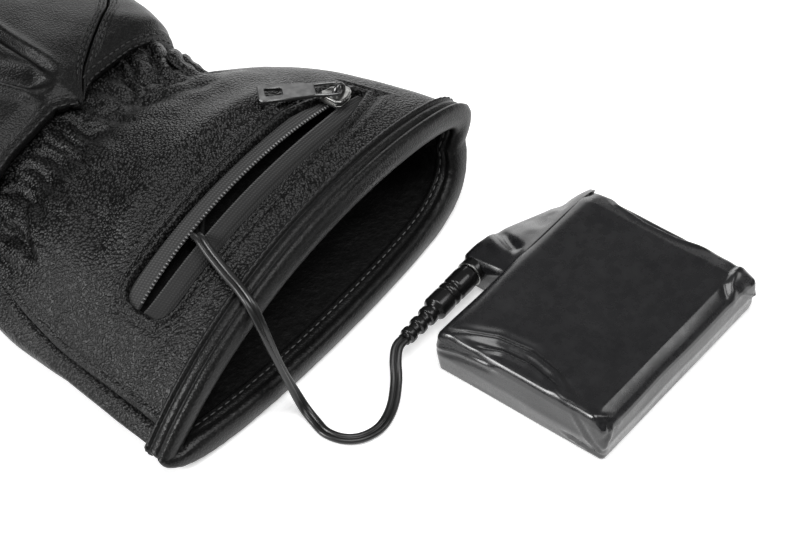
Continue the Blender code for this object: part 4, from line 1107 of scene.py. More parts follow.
def cuff_leather(name, alongs, angles, keep, edges, node, warp=None):
    """One panel of the cuff; edges says how its rims roll, warp where its lines run."""
    along, angle = np.meshgrid(alongs, angles, indexing="ij")
    placed = warp(along, angle) if warp else along
    base = form_points(CUFF, placed, angle)
    drawn = gathers(placed, angle, base, 11)
    outer = form_points(CUFF, placed, angle, drawn)
    normals = grid_normals(outer)
    lift = 0.30 * MM * soft_field(outer, 40 * MM, 21) + 0.07 * MM * soft_field(outer, 13 * MM, 22)
    lift += folds(outer, CUFF_FOLDS)
    quiet = np.clip((along - 0.05) / 0.12, 0, 1)
    zip_start, zip_end = WINDOW
    from_zip = np.maximum(zip_start - along, along - zip_end) * CUFF_LENGTH
    beside = np.maximum(WINDOW_LITTLE_END - angle, angle - WINDOW_THUMB_END) * CUFF_ROUND * MM
    quiet = quiet * np.clip(np.maximum(from_zip, beside) / (9 * MM) - 0.35, 0.0, 1)
    lift = lift * quiet + edges(along, angle, outer)
    outer = outer + normals * lift[..., None]
    if node == "cuff_back_panel":
        wristward = np.clip((outer[..., 1] - 2 * MM) / (34 * MM), 0, 1)
        hang = np.exp(-((angle - 196 * DEGREE) / (17 * DEGREE)) ** 2)
        outer[..., 0] -= 7.0 * MM * wristward * hang
    inner = outer - normals * LEATHER * 0.95
    piece = shell(name, outer, inner, LEATHER_FINISH, keep=keep)
    dress(piece, node)


def make_cuff():
    start, end = WINDOW
    step = 0.9 * MM / CUFF_LENGTH
    alongs = lines_between([LEATHER_START, start, end, 1.0 + WRIST_TUCK], step,
                           [(start, 0.02, 17), (end, 0.02, 17)])
    angles = lines_between([CUFF_LITTLE_SEAM - OVERLAP, WINDOW_LITTLE_END, WINDOW_THUMB_END,
                            CUFF_THUMB_SEAM + OVERLAP], 1.0 * DEGREE,
                           [(WINDOW_LITTLE_END, 2 * DEGREE, 13),
                            (WINDOW_THUMB_END, 2 * DEGREE, 13)])
    mid_along = (alongs[:-1] + alongs[1:]) / 2
    mid_angle = (angles[:-1] + angles[1:]) / 2
    hole = (((mid_along > start) & (mid_along < end))[:, None]
            & ((mid_angle > WINDOW_LITTLE_END) & (mid_angle < WINDOW_THUMB_END))[None, :])

    def edges(along, angle, points):
        across = np.maximum(start - along, along - end) * CUFF_LENGTH
        around = np.maximum(WINDOW_LITTLE_END - angle, angle - WINDOW_THUMB_END) * CUFF_ROUND * MM
        away = np.maximum(across, around)
        turned_edge = 0.55 * MM * np.exp(-((away - 1.1 * MM) / (0.9 * MM)) ** 2)
        roll = np.clip(1 - away / (0.9 * MM), 0, 1)
        lip = -1.5 * MM * (1 - np.sqrt(np.maximum(0, 1 - roll ** 2)))
        stitched = -0.6 * MM * np.exp(-((away - 3.0 * MM) / (0.55 * MM)) ** 2)
        stitched += 0.30 * MM * np.exp(-((away - 4.4 * MM) / (0.8 * MM)) ** 2)
        side = np.minimum(angle - CUFF_LITTLE_SEAM, CUFF_THUMB_SEAM - angle) + OVERLAP
        side = side * SEAM_ROUND * MM
        fall = -0.8 * MM * np.clip(1 - side / (1.3 * MM), 0, 1) ** 2
        raised = 0.55 * MM * np.clip(1 - abs(side - 2.6 * MM) / (2.4 * MM), 0, 1)
        raised -= 0.35 * MM * np.exp(-((side - 5.2 * MM) / (0.5 * MM)) ** 2)
        wrist = -1.2 * MM * np.clip(1 - (1 + WRIST_TUCK - along) * CUFF_LENGTH / (4 * MM), 0, 1)
        return turned_edge + lip + stitched + fall + raised + wrist

    cuff_leather("cuff_palm_leather", alongs, angles, ~hole, edges, "cuff_palm_panel", narrowed)

    tuck = 0.8 * DEGREE
    alongs = lines_between([LEATHER_START, 1.0 + WRIST_TUCK], 1.4 * MM / CUFF_LENGTH)
    angles = lines_between([CUFF_THUMB_SEAM - tuck, CUFF_THUMB_SEAM + 6 * DEGREE,
                            2 * math.pi + CUFF_LITTLE_SEAM - 6 * DEGREE,
                            2 * math.pi + CUFF_LITTLE_SEAM + tuck], 1.5 * DEGREE,
                           [(CUFF_THUMB_SEAM + 2 * DEGREE, 3 * DEGREE, 13),
                            (2 * math.pi + CUFF_LITTLE_SEAM - 2 * DEGREE, 3 * DEGREE, 13)])

    def back_edges(along, angle, points):
        side = np.minimum(angle - CUFF_THUMB_SEAM,
                          2 * math.pi + CUFF_LITTLE_SEAM - angle) + tuck
        fall = -2.0 * MM * np.clip(1.25 - side * SEAM_ROUND * MM / (4.5 * MM), 0, 1) ** 2
        flat = np.clip(-np.sin(angle) / FLAT_FROM, 0, 1)
        return fall - 0.4 * MM * flat

    cuff_leather("cuff_back_leather", alongs, angles, None, back_edges, "cuff_back_panel")


def make_lining():
    """The fleece tube inside the cuff, with the battery pocket above it."""
    alongs = np.linspace(LEATHER_START, 0.97, 70)
    angles = full_turn(180)
    along, angle = np.meshgrid(alongs, angles, indexing="ij")
    band = (BINDING_INSIDE + 1.5 * MM) / CUFF_LENGTH
    near_mouth = np.clip((along - band) / 0.12, 0, 1)
    near_wrist = np.clip((POCKET_END - along) / 0.25, 0, 1)
    pocket = POCKET_DEPTH * near_mouth * near_wrist * np.maximum(0, np.sin(angle)) ** 2
    gather = smooth_columns(CUFF.rows, along)[8]
    inset = LEATHER + LINING_EASE + pocket + GATHER_DEPTH * gather
    outer = form_points(CUFF, along, angle, inset)
    inner = form_points(CUFF, along, angle, inset + LINING)
    normals = grid_normals(inner, closed=True)
    ripple = 0.35 * MM * soft_field(inner, 16 * MM, 5) + 0.14 * MM * soft_field(inner, 5 * MM, 6)
    inner = inner + normals * (ripple * np.clip((along - band) / 0.1, 0, 1))[..., None]
    lining = shell("fleece_lining", outer, inner, FLEECE_FINISH, closed=True)
    dress(lining, "cuff_lining")


def make_binding():
    """The folded strip round the mouth: a stitched band outside, a roll at the rim and a
    stitched band inside."""
    ease = 0.55 * MM
    front = -ease
    inside = LEATHER + LINING_EASE + LINING + ease
    outside = -ease
    thick = 0.9 * MM
    profile = [
        (6.5, outside), (6.35, outside - 0.6 * thick), (6.0, outside - 1.2 * thick),
        (5.5, outside - 1.5 * thick), (5.0, outside - 1.2 * thick), (4.7, outside - 0.5 * thick),
        (4.5, outside - 0.3 * thick), (4.2, outside - 0.75 * thick), (3.7, outside - 1.1 * thick),
        (2.9, outside - 1.15 * thick), (2.2, outside - 0.95 * thick), (1.9, outside - 0.45 * thick),
        (1.7, outside - 0.3 * thick), (1.4, outside - 0.9 * thick), (0.9, outside - 1.7 * thick),
        (0.1, outside - 1.95 * thick), (-0.8, outside - 1.3 * thick), (-1.4, outside - 0.2 * thick),
        (-1.75, 0.3 * inside), (-1.8, 0.6 * inside), (-1.4, 0.95 * inside),
        (-0.6, inside + 0.8 * thick), (0.3, inside + 1.0 * thick), (0.9, inside + 0.7 * thick),
        (1.3, inside + 0.35 * thick), (1.8, inside + 0.7 * thick), (2.6, inside + 1.0 * thick),
        (3.0, inside + 0.8 * thick), (3.4, inside + 1.1 * thick), (4.1, inside + 1.0 * thick),
        (4.5, inside + 0.5 * thick), (4.5, inside), (0.0, inside), (front / MM, inside),
        (front / MM, outside), (3.0, outside), (6.4, outside),
    ]
    depths = np.array([depth for depth, _ in profile]) * MM
    insets = np.array([inset for _, inset in profile])
    angles = full_turn(540)
    depth, angle = np.meshgrid(depths, angles, indexing="ij")
    inset = np.broadcast_to(insets[:, None], depth.shape)
    pleats = soft_field(form_points(CUFF, np.zeros_like(angles), angles), 3.4 * MM, 71)
    drawn = np.clip((inset - outside) / (inside - outside), -1, 2)
    rolled = np.exp(-((depth + 0.2 * MM) / (1.4 * MM)) ** 2) * np.where(drawn < 0.5, -1, 1)
    inset = inset + rolled * pleats * np.where(np.sin(angles) < 0.1, 0.11, 0.05) * MM
    points = form_points(CUFF, np.maximum(0, depth) / CUFF_LENGTH, angle, inset)
    edge = form_points(CUFF, np.zeros_like(angle), angle)
    travel = unit(form_points(CUFF, np.full_like(angle, 0.05), angle) - edge)
    points = points + travel * np.minimum(0, depth)[..., None]
    rings = np.swapaxes(points, 0, 1)
    rings = np.concatenate([rings, rings[:1]])
    mesh = tube_mesh("binding", rings, caps=False)
    binding = make_object("mouth_binding_leather", mesh, BINDING_FINISH)
    dress(binding, "mouth_binding")
    # The inside row's grey thread is a painted highlight.
    for name, depth, inset, finish in (
            ("outer_binding_stitches", 5.4, outside - 1.5 * thick, THREAD_FINISH),
            ("inner_binding_stitches", 3.0, inside + 0.8 * thick, HIGHLIGHT_THREAD_FINISH)):
        line = form_points(CUFF, np.full(len(angles), depth * MM / CUFF_LENGTH), angles, inset)
        deeper = form_points(CUFF, np.full(len(angles), depth * MM / CUFF_LENGTH), angles,
                             inset + (1 if "inner" in name else -1) * MM)
        row = stitches(name, line, deeper - line, 2.6, (2.0, 0.5, 0.4), finish)
        dress(row)


# ---- hand, fingers and thumb ----

# The thumb's opening along the hand: its start and end as shares of the hand's length
THUMB_HOLE = (THUMB_HOLE_START / HAND_LENGTH,
              THUMB_HOLE_START / HAND_LENGTH + THUMB_HOLE_LENGTH / HAND_LENGTH)


def heel_edge(along):
    share = np.minimum(1.0, along * HAND_LENGTH / HEEL_LENGTH)
    return mix(HEEL_POINT, 3 * DEGREE, share)


# Where the two rows of stitches run behind a seam of the hand, in mm
STITCH_ROWS = (1.8, 3.7)


def seam_form(distance):
    """Beside a seam: the turned edge, the doubled leather and a groove for each stitch row."""
    away = distance / MM
    lift = -1.2 * np.clip(1 - away / 1.5, 0, 1) ** 2 + 0.5 * np.clip((5.4 - away) / 1.3, 0, 1)
    for row in STITCH_ROWS:
        lift -= 0.42 * np.exp(-((away - row) / 0.42) ** 2)
    return lift * MM


def hand_drop(along, points):
    """The hand's front edge is drawn down on the cuff, and the leather waves a little."""
    upper = np.clip(points[..., 2] / (10 * MM) - 1.2, 0, 1)
    wave = 0.35 * MM * soft_field(points, 36 * MM, 31) + folds(points, HAND_FOLDS)
    fingerward = np.clip((along - 0.70) / 0.30, 0, 1) ** 1.5
    front_drop = 1.6 * np.clip(1 - along * HAND_LENGTH / (9 * MM), 0, 1)
    return wave - (front_drop + 5.0 * fingerward) * MM * upper


def hand_stitches():
    """Two rows of stitches along the front edge and each side of the heel piece's seam."""
    rows = []
    for behind in STITCH_ROWS:
        for first, last in ((12, 84), (92, 166)):
            angles = np.linspace(first, last, 160) * DEGREE
            rows.append((np.full(160, behind * MM / HAND_LENGTH), angles, behind))
    share = np.linspace(0.10, 0.93, 200)
    alongs = share * HEEL_LENGTH / HAND_LENGTH
    for behind in STITCH_ROWS:
        for side in (-1, 1):
            beside = side * behind * MM / (HAND_ROUND * MM)
            rows.append((alongs, heel_edge(alongs) + beside, behind))
    for number, (along, angle, behind) in enumerate(rows):
        line = stand_back(along, form_points(HAND, along, angle))
        above = stand_back(along, form_points(HAND, along, angle, -1 * MM))
        lift = hand_drop(along, line) + seam_form(behind * MM)
        up = unit(above - line)
        row = stitches(f"hand_stitches_{number}", line + up * (lift + 0.1 * MM)[:, None], up, 2.6,
                       (1.9, 0.55, 0.45), THREAD_FINISH)
        dress(row)


# Creases of the hand seen from above, as those of the cuff
HAND_FOLDS = [
    ([(1, 92), (-0.4, 83), (-1.4, 76), (-1.9, 70.5), (-1.8, 64.4), (-2.3, 57)], 1.3, 2.4, 0.8),
    ([(-20, 90), (-14, 77), (-11.4, 70.7), (-9.2, 65.3), (-6.9, 60.9), (-4.6, 56)],
     3.1, 5.6, 0.0),
    ([(-24, 84), (-17.6, 71), (-15.6, 65), (-13.8, 60.5), (-13, 57), (-12.4, 53)],
     1.9, -1.8, 0.0),
    ([(-20, 100), (-24, 88), (-32, 78), (-44, 70)], 4.0, 1.2, 0.5),
    ([(12, 120), (14, 104), (22, 92), (36, 84)], 4.0, 1.3, 0.5),
    ([(-30, 122), (-10, 118), (12, 120), (34, 126)], 4.5, 1.3, 0.4),
    ([(24, 66), (34, 62), (44, 60)], 4.0, -0.6, 0.0),
]

# How far the hand's front edge stands back from its seam, place by place across the hand
EDGE_X = np.array([-60, -46, -36, -29, -20, -10, -7, -4.2, 1.5, 7, 19, 25, 32, 42, 54]) * MM
EDGE_BACK = np.array([0, 0.5, 1.4, 2.6, 2.9, 3.6, 1.8, -1.5, 2.4, 4.6, 6.0, 6.8, 6.8, 6.8, 5]) * MM


def stand_back(along, points):
    """Draw the hand's front edge back in two arches with a point between them."""
    above = np.clip(points[..., 2] / (10 * MM) - 1, 0, 1)
    back = np.interp(points[..., 0], EDGE_X, EDGE_BACK) * above
    moved = points.copy()
    moved[..., 1] += back * np.clip(1 - along / 0.24, 0, 1)
    return moved


def hand_leather(name, along, angle, lift, node):
    outer = stand_back(along, form_points(HAND, along, angle))
    normals = grid_normals(outer)
    wave = hand_drop(along, outer) + 0.06 * MM * soft_field(outer, 12 * MM, 32)
    outer = outer + normals * (wave + lift(along, angle, outer))[..., None]
    inner = outer - normals * LEATHER * 0.95
    mid = (along[:-1, :-1] + along[1:, 1:]) / 2
    mid_angle = (angle[:-1, :-1] + angle[1:, 1:]) / 2
    start, end = THUMB_HOLE
    hole = ((mid > start) & (mid < end)
            & (abs(mid_angle - math.pi) < THUMB_HOLE_SPREAD))
    piece = shell(name, outer, inner, HAND_FINISH, keep=~hole)
    dress(piece, node)


def make_hand():
    hand_stitches()
    seam = GAP / HAND_HALF
    start, end = THUMB_HOLE
    hole_top = math.pi - THUMB_HOLE_SPREAD
    alongs = lines_between([0, start, end, 1.0], 0.65 * MM / HAND_LENGTH)

    def palm_lift(along, angle, points):
        distance = np.minimum((angle - heel_edge(along)) * HAND_ROUND * MM, along * HAND_LENGTH)
        return seam_form(distance)

    share = np.linspace(0, 1, 170)
    rows = []
    for value in alongs:
        first = heel_edge(value) + seam
        rows.append(np.concatenate([mix(first, hole_top, share),
                                    mix(hole_top, math.pi - seam, np.linspace(0, 1, 24)[1:])]))
    angle = np.array(rows)
    along = np.broadcast_to(alongs[:, None], angle.shape)
    hand_leather("palm_leather", along, angle, palm_lift, "palm_panel")

    heel_end = HEEL_LENGTH / HAND_LENGTH
    values = np.linspace(0, 0.96, 90) * heel_end
    angle = np.array([mix(seam, heel_edge(value) - seam, np.linspace(0, 1, 120))
                      for value in values])
    along = np.broadcast_to(values[:, None], angle.shape)

    def heel_lift(along, angle, points):
        distance = np.minimum((heel_edge(along) - angle) * HAND_ROUND * MM, along * HAND_LENGTH)
        return seam_form(distance)

    hand_leather("heel_leather", along, angle, heel_lift, "heel_panel")

    hole_bottom = math.pi + THUMB_HOLE_SPREAD
    values = lines_between([math.pi + seam, hole_bottom, 2 * math.pi - seam], 1.6 * DEGREE)
    alongs = lines_between([0, start, end, 1.0], 1.5 * MM / HAND_LENGTH)
    along, angle = np.meshgrid(alongs, values, indexing="ij")

    def back_lift(along, angle, points):
        flat = np.clip(-np.sin(angle) / FLAT_FROM, 0, 1)
        return seam_form(along * HAND_LENGTH) - 0.7 * MM * flat

    hand_leather("back_leather", along, angle, back_lift, "back_panel")


def from_middle(rings):
    """Each ring's middle, and the directions from it to the ring's points."""
    middle = rings.mean(1, keepdims=True)
    return middle, unit(rings - middle)


def oval_ring(centre, across, upright, half_width, half_height, roundness, count):
    angle = full_turn(count)
    cosine, sine = np.cos(angle), np.sin(angle)
    u = np.sign(cosine) * np.abs(cosine) ** (2 / roundness) * half_width
    v = np.sign(sine) * np.abs(sine) ** (2 / roundness) * half_height
    return centre + u[:, None] * across + v[:, None] * upright


FINGERS = [
    ("index_finger", 0.250, 70 * MM, -4 * DEGREE, 0.90),
    ("middle_finger", 0.255, 79 * MM, -1 * DEGREE, 1.00),
    ("ring_finger", 0.250, 72 * MM, 2 * DEGREE, 0.95),
    ("little_finger", 0.232, 56 * MM, 6 * DEGREE, 0.80),
]
FINGER_RINGS = np.array([
    (0.00, 0.96, 1.00, 2.8), (0.18, 0.98, 0.96, 2.5), (0.45, 0.95, 0.90, 2.2),
    (0.72, 0.92, 0.86, 2.1), (0.88, 0.82, 0.76, 2.0), (0.96, 0.58, 0.54, 2.0),
    (0.99, 0.34, 0.32, 2.0), (1.0, 0.02, 0.02, 2.0),
])


def make_fingers():
    root = HAND_FRONT + HAND_LENGTH + 2 * GAP
    columns = smooth_columns(HAND.rows, np.array([1.0]))
    centre_share, half_share = columns[0][0], columns[1][0]
    total = sum(finger[1] for finger in FINGERS)
    left = (centre_share - half_share) * HAND_HALF
    for seed, (name, share, length, splay, rise) in enumerate(FINGERS):
        width = 2 * HAND_HALF * half_share * share / total - GAP
        centre_x = left + (width + GAP) / 2
        left += width + GAP
        places = np.concatenate([np.linspace(0, 0.9, 60), 0.9 + 0.1 * np.sin(
            np.linspace(0, math.pi / 2, 14)[1:])])
        wide, high, roundness = smooth_columns(FINGER_RINGS, places)
        rings = []
        for place, w, h, r in zip(places, wide, high, roundness):
            reach = length * place
            lift = FINGER_CURL * rise * place ** 2
            height = FINGER_HEIGHT * h
            bend = math.atan(2 * FINGER_CURL * rise * place / length)
            turn = splay * min(1.0, 4 * place)
            centre = np.array([centre_x + math.sin(turn) * reach, root + math.cos(turn) * reach,
                               lift + FINGER_HEIGHT * max(h, 0.4) / 2 if h < 0.4
                               else lift + height / 2])
            across = np.array([math.cos(turn), -math.sin(turn), 0])
            upright = np.array([0, -math.sin(bend), math.cos(bend)])
            rings.append(oval_ring(centre, across, upright, width * w / 2, height / 2, r, 64))
        rings = np.array(rings)
        middle, out = from_middle(rings)
        wave = 0.3 * MM * soft_field(rings, 22 * MM, 50 + seed)
        creases = sum(np.exp(-((places - at) * length / (1.4 * MM)) ** 2) for at in (0.34, 0.62))
        wave = wave - 0.9 * MM * creases[:, None] * np.clip(out[..., 2], 0, 1)
        calm = np.clip((1 - places) / 0.15, 0, 1)[:, None]
        rings = rings + out * (wave * calm)[..., None]
        inner = middle + (rings - middle) * 0.86
        finger = shell(name + "_leather", rings[:-1], inner[:-1], HAND_FINISH, closed=True)
        close_end(finger.data, (0, 1, 0), 0.97, 0.0012)
        dress(finger, name)


def close_end(mesh, heading, facing, band):
    """Cover the open end that looks along a heading, in place of the faces in its last band."""
    shape = bmesh.new()
    shape.from_mesh(mesh)
    ahead = Vector(heading)
    top = max(v.co.dot(ahead) for v in shape.verts)
    faces = [f for f in shape.faces if f.normal.dot(ahead) > facing
             and f.calc_center_median().dot(ahead) > top - band]
    bmesh.ops.delete(shape, geom=faces, context="FACES")
    edges = [e for e in shape.edges if e.is_boundary]
    if edges:
        bmesh.ops.holes_fill(shape, edges=edges)
    bmesh.ops.recalc_face_normals(shape, faces=shape.faces)
    shape.to_mesh(mesh)
    shape.free()
    mesh.polygons.foreach_set("use_smooth", [True] * len(mesh.polygons))


THUMB_RINGS = [(0.55, 0.20, 1.10), (1.00, 0.42, 1.00), (1.00, 0.62, 0.95), (1.00, 0.80, 0.88),
               (1.00, 0.92, 0.70), (1.00, 0.985, 0.40)]


def align_rings(rings):
    """Number each ring so that neighbouring rings face each other point by point."""
    aligned = [rings[0]]
    for ring in rings[1:]:
        options = []
        for points in (ring, ring[::-1]):
            for shift in range(len(points)):
                turned = np.roll(points, -shift, axis=0)
                options.append((np.linalg.norm(aligned[-1] - turned, axis=1).sum(), shift, turned))
        aligned.append(min(options, key=lambda option: option[0])[2])
    return aligned


def make_thumb():
    count = 64
    margin = 1.5 * GAP
    start = THUMB_HOLE_START / HAND_LENGTH
    length = THUMB_HOLE_LENGTH / HAND_LENGTH
    angle = full_turn(count)
    cosine, sine = np.cos(angle), np.sin(angle)
    square = mix(1.0, 1 / np.maximum(abs(cosine), abs(sine)), 0.9)
    along = start + length / 2 + (length / 2 - margin / HAND_LENGTH) * cosine * square
    turn = THUMB_HOLE_SPREAD - margin / (HAND_HEIGHT / 2)
    base = form_points(HAND, along, math.pi - turn * sine * square)
    middle = base.mean(0)
    collar_x = base[:, 0].min() - THUMB_COLLAR
    collar = np.stack([np.full(count, collar_x), mix(middle[1], base[:, 1], 0.96),
                       mix(THUMB_LIFT, base[:, 2], 0.93)], -1)
    heading = np.array([-math.sin(THUMB_SPLAY), math.cos(THUMB_SPLAY), 0])
    across = np.array([math.cos(THUMB_SPLAY), math.sin(THUMB_SPLAY), 0])
    hub = np.array([collar_x, middle[1], middle[2]]) - across * THUMB_HALF * 0.55
    rings = [base, collar]
    for facing_share, place, size in THUMB_RINGS:
        facing = heading * facing_share - across * (1 - facing_share)
        facing /= np.linalg.norm(facing)
        sideways = np.array([facing[1], -facing[0], 0])
        centre = hub + heading * THUMB_LENGTH * place
        height = THUMB_HALF * size
        centre[2] = max(centre[2], height + THUMB_LIFT)
        rings.append(oval_ring(centre, sideways, np.array([0, 0, 1.0]), THUMB_HALF * size,
                               height, 2.1, count))
    rings = align_rings(rings)
    end = rings[-1].mean(0) + heading * 1.5 * MM
    rings.append(end + (rings[-1] - rings[-1].mean(0)) * 0.35)
    dense = []
    padded = [rings[0]] + rings + [rings[-1]]
    for a, b, c, d in zip(padded, padded[1:], padded[2:], padded[3:]):
        steps = 10
        for t in np.arange(steps) / steps:
            dense.append(curve_point(a, b, c, d, t))
    dense = np.array(dense + [rings[-1]])
    middle, out = from_middle(dense)
    calm = np.clip(np.arange(len(dense)) / 12, 0, 1)[:, None]
    dense = dense + out * (0.35 * MM * soft_field(dense, 24 * MM, 61) * calm)[..., None]
    inner = middle + (dense - middle) * 0.86
    thumb = shell("thumb_leather", dense, inner, HAND_FINISH, closed=True)
    close_end(thumb.data, heading, 0.95, 0.0015)
    dress(thumb, "thumb")


# ---- zip ----

def opened_share(angle):
    """How far from the zip's thumb end to its slider."""
    return np.clip((WINDOW_THUMB_END - angle) / (WINDOW_THUMB_END - SLIDER_ANGLE), 0, 1)


def tape_edge(angle, side):
    share = opened_share(angle)
    opening = mix(ZIP_CLOSED_GAP, ZIP_OPENING, np.sin(math.pi * share) ** 0.7)
    middle = WINDOW_START + ZIP_LINE - 0.35 * (opening - ZIP_CLOSED_GAP)
    return middle + side * opening / 2


def drawn_edge(angle, side):
    """The tape's edge as it lies: the mouth side's tape is drawn over most of the opening."""
    drawn_over = (side < 0) * 1.5 * MM * np.sin(math.pi * opened_share(angle))
    return tape_edge(angle, side) + drawn_over


def make_zip():
    """Two woven tapes, each with its row of teeth."""
    under = LEATHER + GAP
    overlap = 3 * MM / MOUTH_HALF
    angles = np.linspace(WINDOW_LITTLE_END - overlap, WINDOW_THUMB_END + overlap, 160)
    for name, side in (("mouth_side", -1), ("wrist_side", 1)):
        far = WINDOW_START - 4 * MM if side < 0 else WINDOW_START + WINDOW_WIDTH + 4 * MM
        shares = np.linspace(0, 1, 14)
        near = drawn_edge(angles, side)
        behind = near[None, :] + (far - near)[None, :] * shares[:, None]
        angle = np.broadcast_to(angles[None, :], behind.shape)
        sag = 0.0 if side > 0 else 0.35 * MM
        from_edge = np.minimum(behind - WINDOW_START, WINDOW_START + WINDOW_WIDTH - behind)
        sunk = under + sag - 0.9 * MM * np.clip(from_edge / (0.9 * MM) - 0.4, 0, 1)
        outer = cuff_surface(behind, angle, sunk)
        inner = cuff_surface(behind, angle, sunk + 0.8 * MM)
        # The mouth side's tape takes the darker finish as painted shade.
        tape = shell("zip_tape_" + name, outer, inner,
                     TAPE_FINISH if side > 0 else SHADED_TAPE_FINISH)
        dress(tape, "zip_tape_" + name)
        fine = np.linspace(WINDOW_LITTLE_END + 3 * DEGREE, WINDOW_THUMB_END - DEGREE, 300)
        place = drawn_edge(fine, side) + (0.1 if side > 0 else -0.9) * MM
        line = cuff_surface(place, fine, under + sag - (0.75 if side > 0 else -0.6) * MM)
        above = cuff_surface(place, fine, under - 2 * MM)
        at, up = even_path(line, above - line, 1.1 * MM)
        ahead, up = path_frames(at, up)
        # The wrist side's teeth take the paler finish as painted glints.
        teeth = repeated("zip_teeth_" + name, at, ahead, up,
                         [0.6 * MM, 1.0 * MM, 0.9 * MM],
                         GLINTING_TEETH_FINISH if side > 0 else DARK_TEETH_FINISH)
        dress(teeth, "zip_teeth_" + name)


SLIDER_PLACE = Matrix(((0.97831, 0, 0.20715, 39.16 * MM), (0, 1, 0, -8.69 * MM),
                       (-0.20715, 0, 0.97831, 40.71 * MM), (0, 0, 0, 1)))
SLIDER_TOP = 1.3 * MM
PULL_TURN = 44 * DEGREE
PULL_DIP = 7 * DEGREE
PULL_THICKNESS = 1.1 * MM
PULL_PIVOT = 1.15 * MM


def placed_mesh(name, rings, place, caps=True):
    """A closed tube whose rings are given in a part's own frame, in mm."""
    rings = np.array(rings, float) * MM
    turn = np.array(place.to_3x3())
    return tube_mesh(name, rings @ turn.T + np.array(place.translation), caps)


def edge_reach(outline, angles):
    """How far an outline is from its middle, in each direction."""
    reach = np.full(len(angles), 1e9)
    directions = np.stack([np.cos(angles), np.sin(angles)], -1)
    for a, b in zip(outline, np.roll(outline, -1, 0)):
        normal = np.array([b[1] - a[1], a[0] - b[0]])
        facing = directions @ normal
        with np.errstate(divide="ignore"):
            found = np.where(facing > 1e-9, normal @ a / np.where(facing > 1e-9, facing, 1), 1e9)
        reach = np.minimum(reach, found)
    return reach


def outline_angles(outlines, count):
    """The directions of all the outlines' corners, with even ones between."""
    corners = [np.arctan2(line[:, 1], line[:, 0]) for line in outlines]
    even = np.linspace(-math.pi, math.pi, count + 1)[:-1]
    return np.unique(np.round(np.concatenate(corners + [even]), 5))


def make_slider():
    """The slider's shield-shaped body with the arched bridge over it."""
    outline = np.array([(4.3, 0.7), (4.3, -0.7), (3.2, -2.1), (0.4, -3.3), (-3.3, -3.6),
                        (-4.3, -2.7), (-4.3, 2.7), (-3.3, 3.6), (0.4, 3.3), (3.2, 2.1)])[::-1]
    angles = outline_angles([outline], 64)
    reach = edge_reach(outline, angles)
    rings = []
    for z, inwards in ((-1.3, 0.35), (-1.05, 0.05), (-0.95, 0), (-0.35, 0), (-0.25, 0.1),
                       (-0.2, 0.5), (0.2, 0.5), (0.25, 0.1), (0.35, 0), (0.85, 0), (1.05, 0.08),
                       (1.25, 0.3), (1.3, 0.5)):
        size = reach - inwards
        rings.append(np.stack([size * np.cos(angles), size * np.sin(angles),
                               np.full(len(angles), z)], -1))
    body = make_object("slider_body", placed_mesh("slider_body", rings, SLIDER_PLACE),
                       SLIDER_FINISH, smooth=False)
    arch = []
    for turn in np.linspace(0, math.pi, 25):
        out = np.array([-math.cos(turn), 0, math.sin(turn)])
        middle = np.array([-2.05 * math.cos(turn), 0, 1.15 + 2.75 * math.sin(turn)])
        wide = mix(0.75, 0.6, math.sin(turn))
        arch.append([middle + out * 0.42 * math.cos(a) * abs(math.cos(a)) ** -0.3
                     + np.array([0, wide * math.sin(a), 0])
                     for a in np.linspace(0.01, 2 * math.pi + 0.01, 17)[:-1]])
    bridge = make_object("slider_bridge", placed_mesh("slider_bridge", arch, SLIDER_PLACE),
                         BRIDGE_FINISH)
    for piece in (body, bridge):
        dress(piece, "zip_slider")


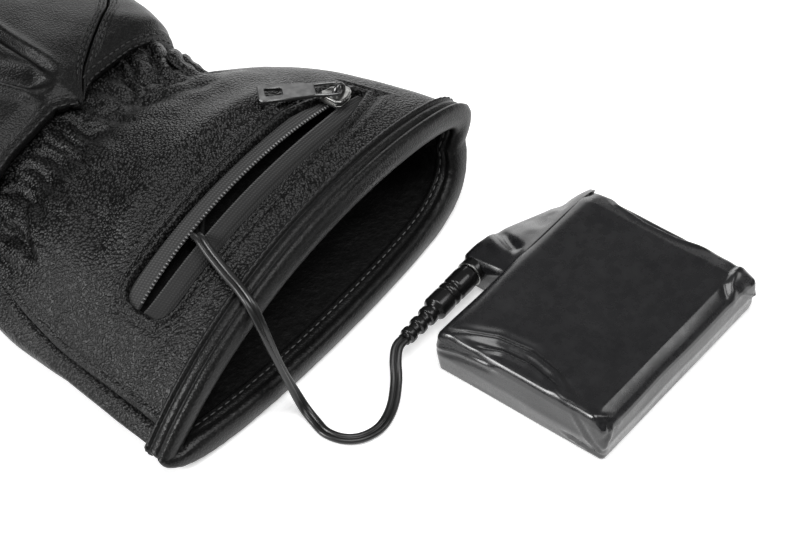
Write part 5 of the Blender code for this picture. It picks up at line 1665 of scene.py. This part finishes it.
def make_pull():
    """The pull: a tapering plate with a window, two arms and the bar under the bridge."""
    lift = Matrix.Translation((0, 0, SLIDER_TOP + PULL_PIVOT))
    place = (SLIDER_PLACE @ lift @ Matrix.Rotation(math.pi - PULL_TURN, 4, "Z")
             @ Matrix.Rotation(PULL_DIP, 4, "Y"))
    middle = 18.2
    outline = np.array([(22.4, -3.5), (22.4, 3.5), (21.6, 4.25), (7.6, 3.2), (6.6, 2.7),
                        (6.6, -2.7), (7.6, -3.2), (21.6, -4.25)]) - np.array([middle, 0])
    window = np.array([(2.3, -1.7), (2.3, 1.7), (2.0, 2.0), (-2.2, 1.8), (-2.5, 1.5), (-2.5, -1.5),
                       (-2.2, -1.8), (2.0, -2.0)])
    angles = outline_angles([outline, window], 48)
    outer, inner = edge_reach(outline, angles), edge_reach(window, angles)
    half, cut = PULL_THICKNESS / 2 / MM, 0.28
    rings = []
    for angle, far, near in zip(angles, outer, inner):
        section = [(far - cut, -half), (far, -half + cut), (far, half - cut), (far - cut, half),
                   (near + 0.15, half), (near, half - 0.15), (near, -half + 0.15),
                   (near + 0.15, -half)]
        rings.append([(middle + r * math.cos(angle), r * math.sin(angle), z) for r, z in section])
    rings.append(rings[0])
    plate = make_object("pull_plate", placed_mesh("pull_plate", rings, place, caps=False),
                        PULL_FINISH, smooth=False)
    route = smooth_route([(7.2, 2.55, 0), (4.5, 2.8, 0), (1.6, 2.85, 0), (0.35, 2.6, 0),
                          (0, 1.9, 0), (0, 0, 0), (0, -1.9, 0), (0.35, -2.6, 0), (1.6, -2.85, 0),
                          (4.5, -2.8, 0), (7.2, -2.55, 0)], 0.35)
    ahead = unit(np.gradient(route, axis=0))
    side = np.stack([-ahead[:, 1], ahead[:, 0], np.zeros(len(ahead))], -1)
    loop = [[point + out * 0.44 * math.cos(a) + np.array([0, 0, 0.5 * math.sin(a)])
             for a in full_turn(12)] for point, out in zip(route, side)]
    arms = make_object("pull_arms", placed_mesh("pull_arms", loop, place), PULL_FINISH)
    for piece in (plate, arms):
        dress(piece, "zip_pull", "pull")


def window_stitches():
    """One row of stitches round the zip's window, a few millimetres out from its edge."""
    start, end = WINDOW
    out = 3.0 * MM
    near, far = start - out / CUFF_LENGTH, end + out / CUFF_LENGTH
    little = WINDOW_LITTLE_END - out / (CUFF_ROUND * MM)
    thumb = WINDOW_THUMB_END + out / (CUFF_ROUND * MM)
    corners = [(near, little), (near, thumb), (far, thumb), (far, little), (near, little)]
    along = np.concatenate([np.linspace(a[0], b[0], 200) for a, b in zip(corners, corners[1:])])
    angle = np.concatenate([np.linspace(a[1], b[1], 200) for a, b in zip(corners, corners[1:])])
    along = narrowed(along, angle)
    line = form_points(CUFF, along, angle, 0.30 * MM)
    up = form_points(CUFF, along, angle, -0.7 * MM) - line
    row = stitches("window_stitches", line, up, 2.3, (1.7, 0.55, 0.45), THREAD_FINISH)
    dress(row)


make_camera()
make_studio()
plug = make_plug()
make_lead()
make_socket()
make_battery()
make_cover()
make_cuff()
make_lining()
make_binding()
make_hand()
make_fingers()
make_thumb()
make_zip()
make_slider()
make_pull()
window_stitches()
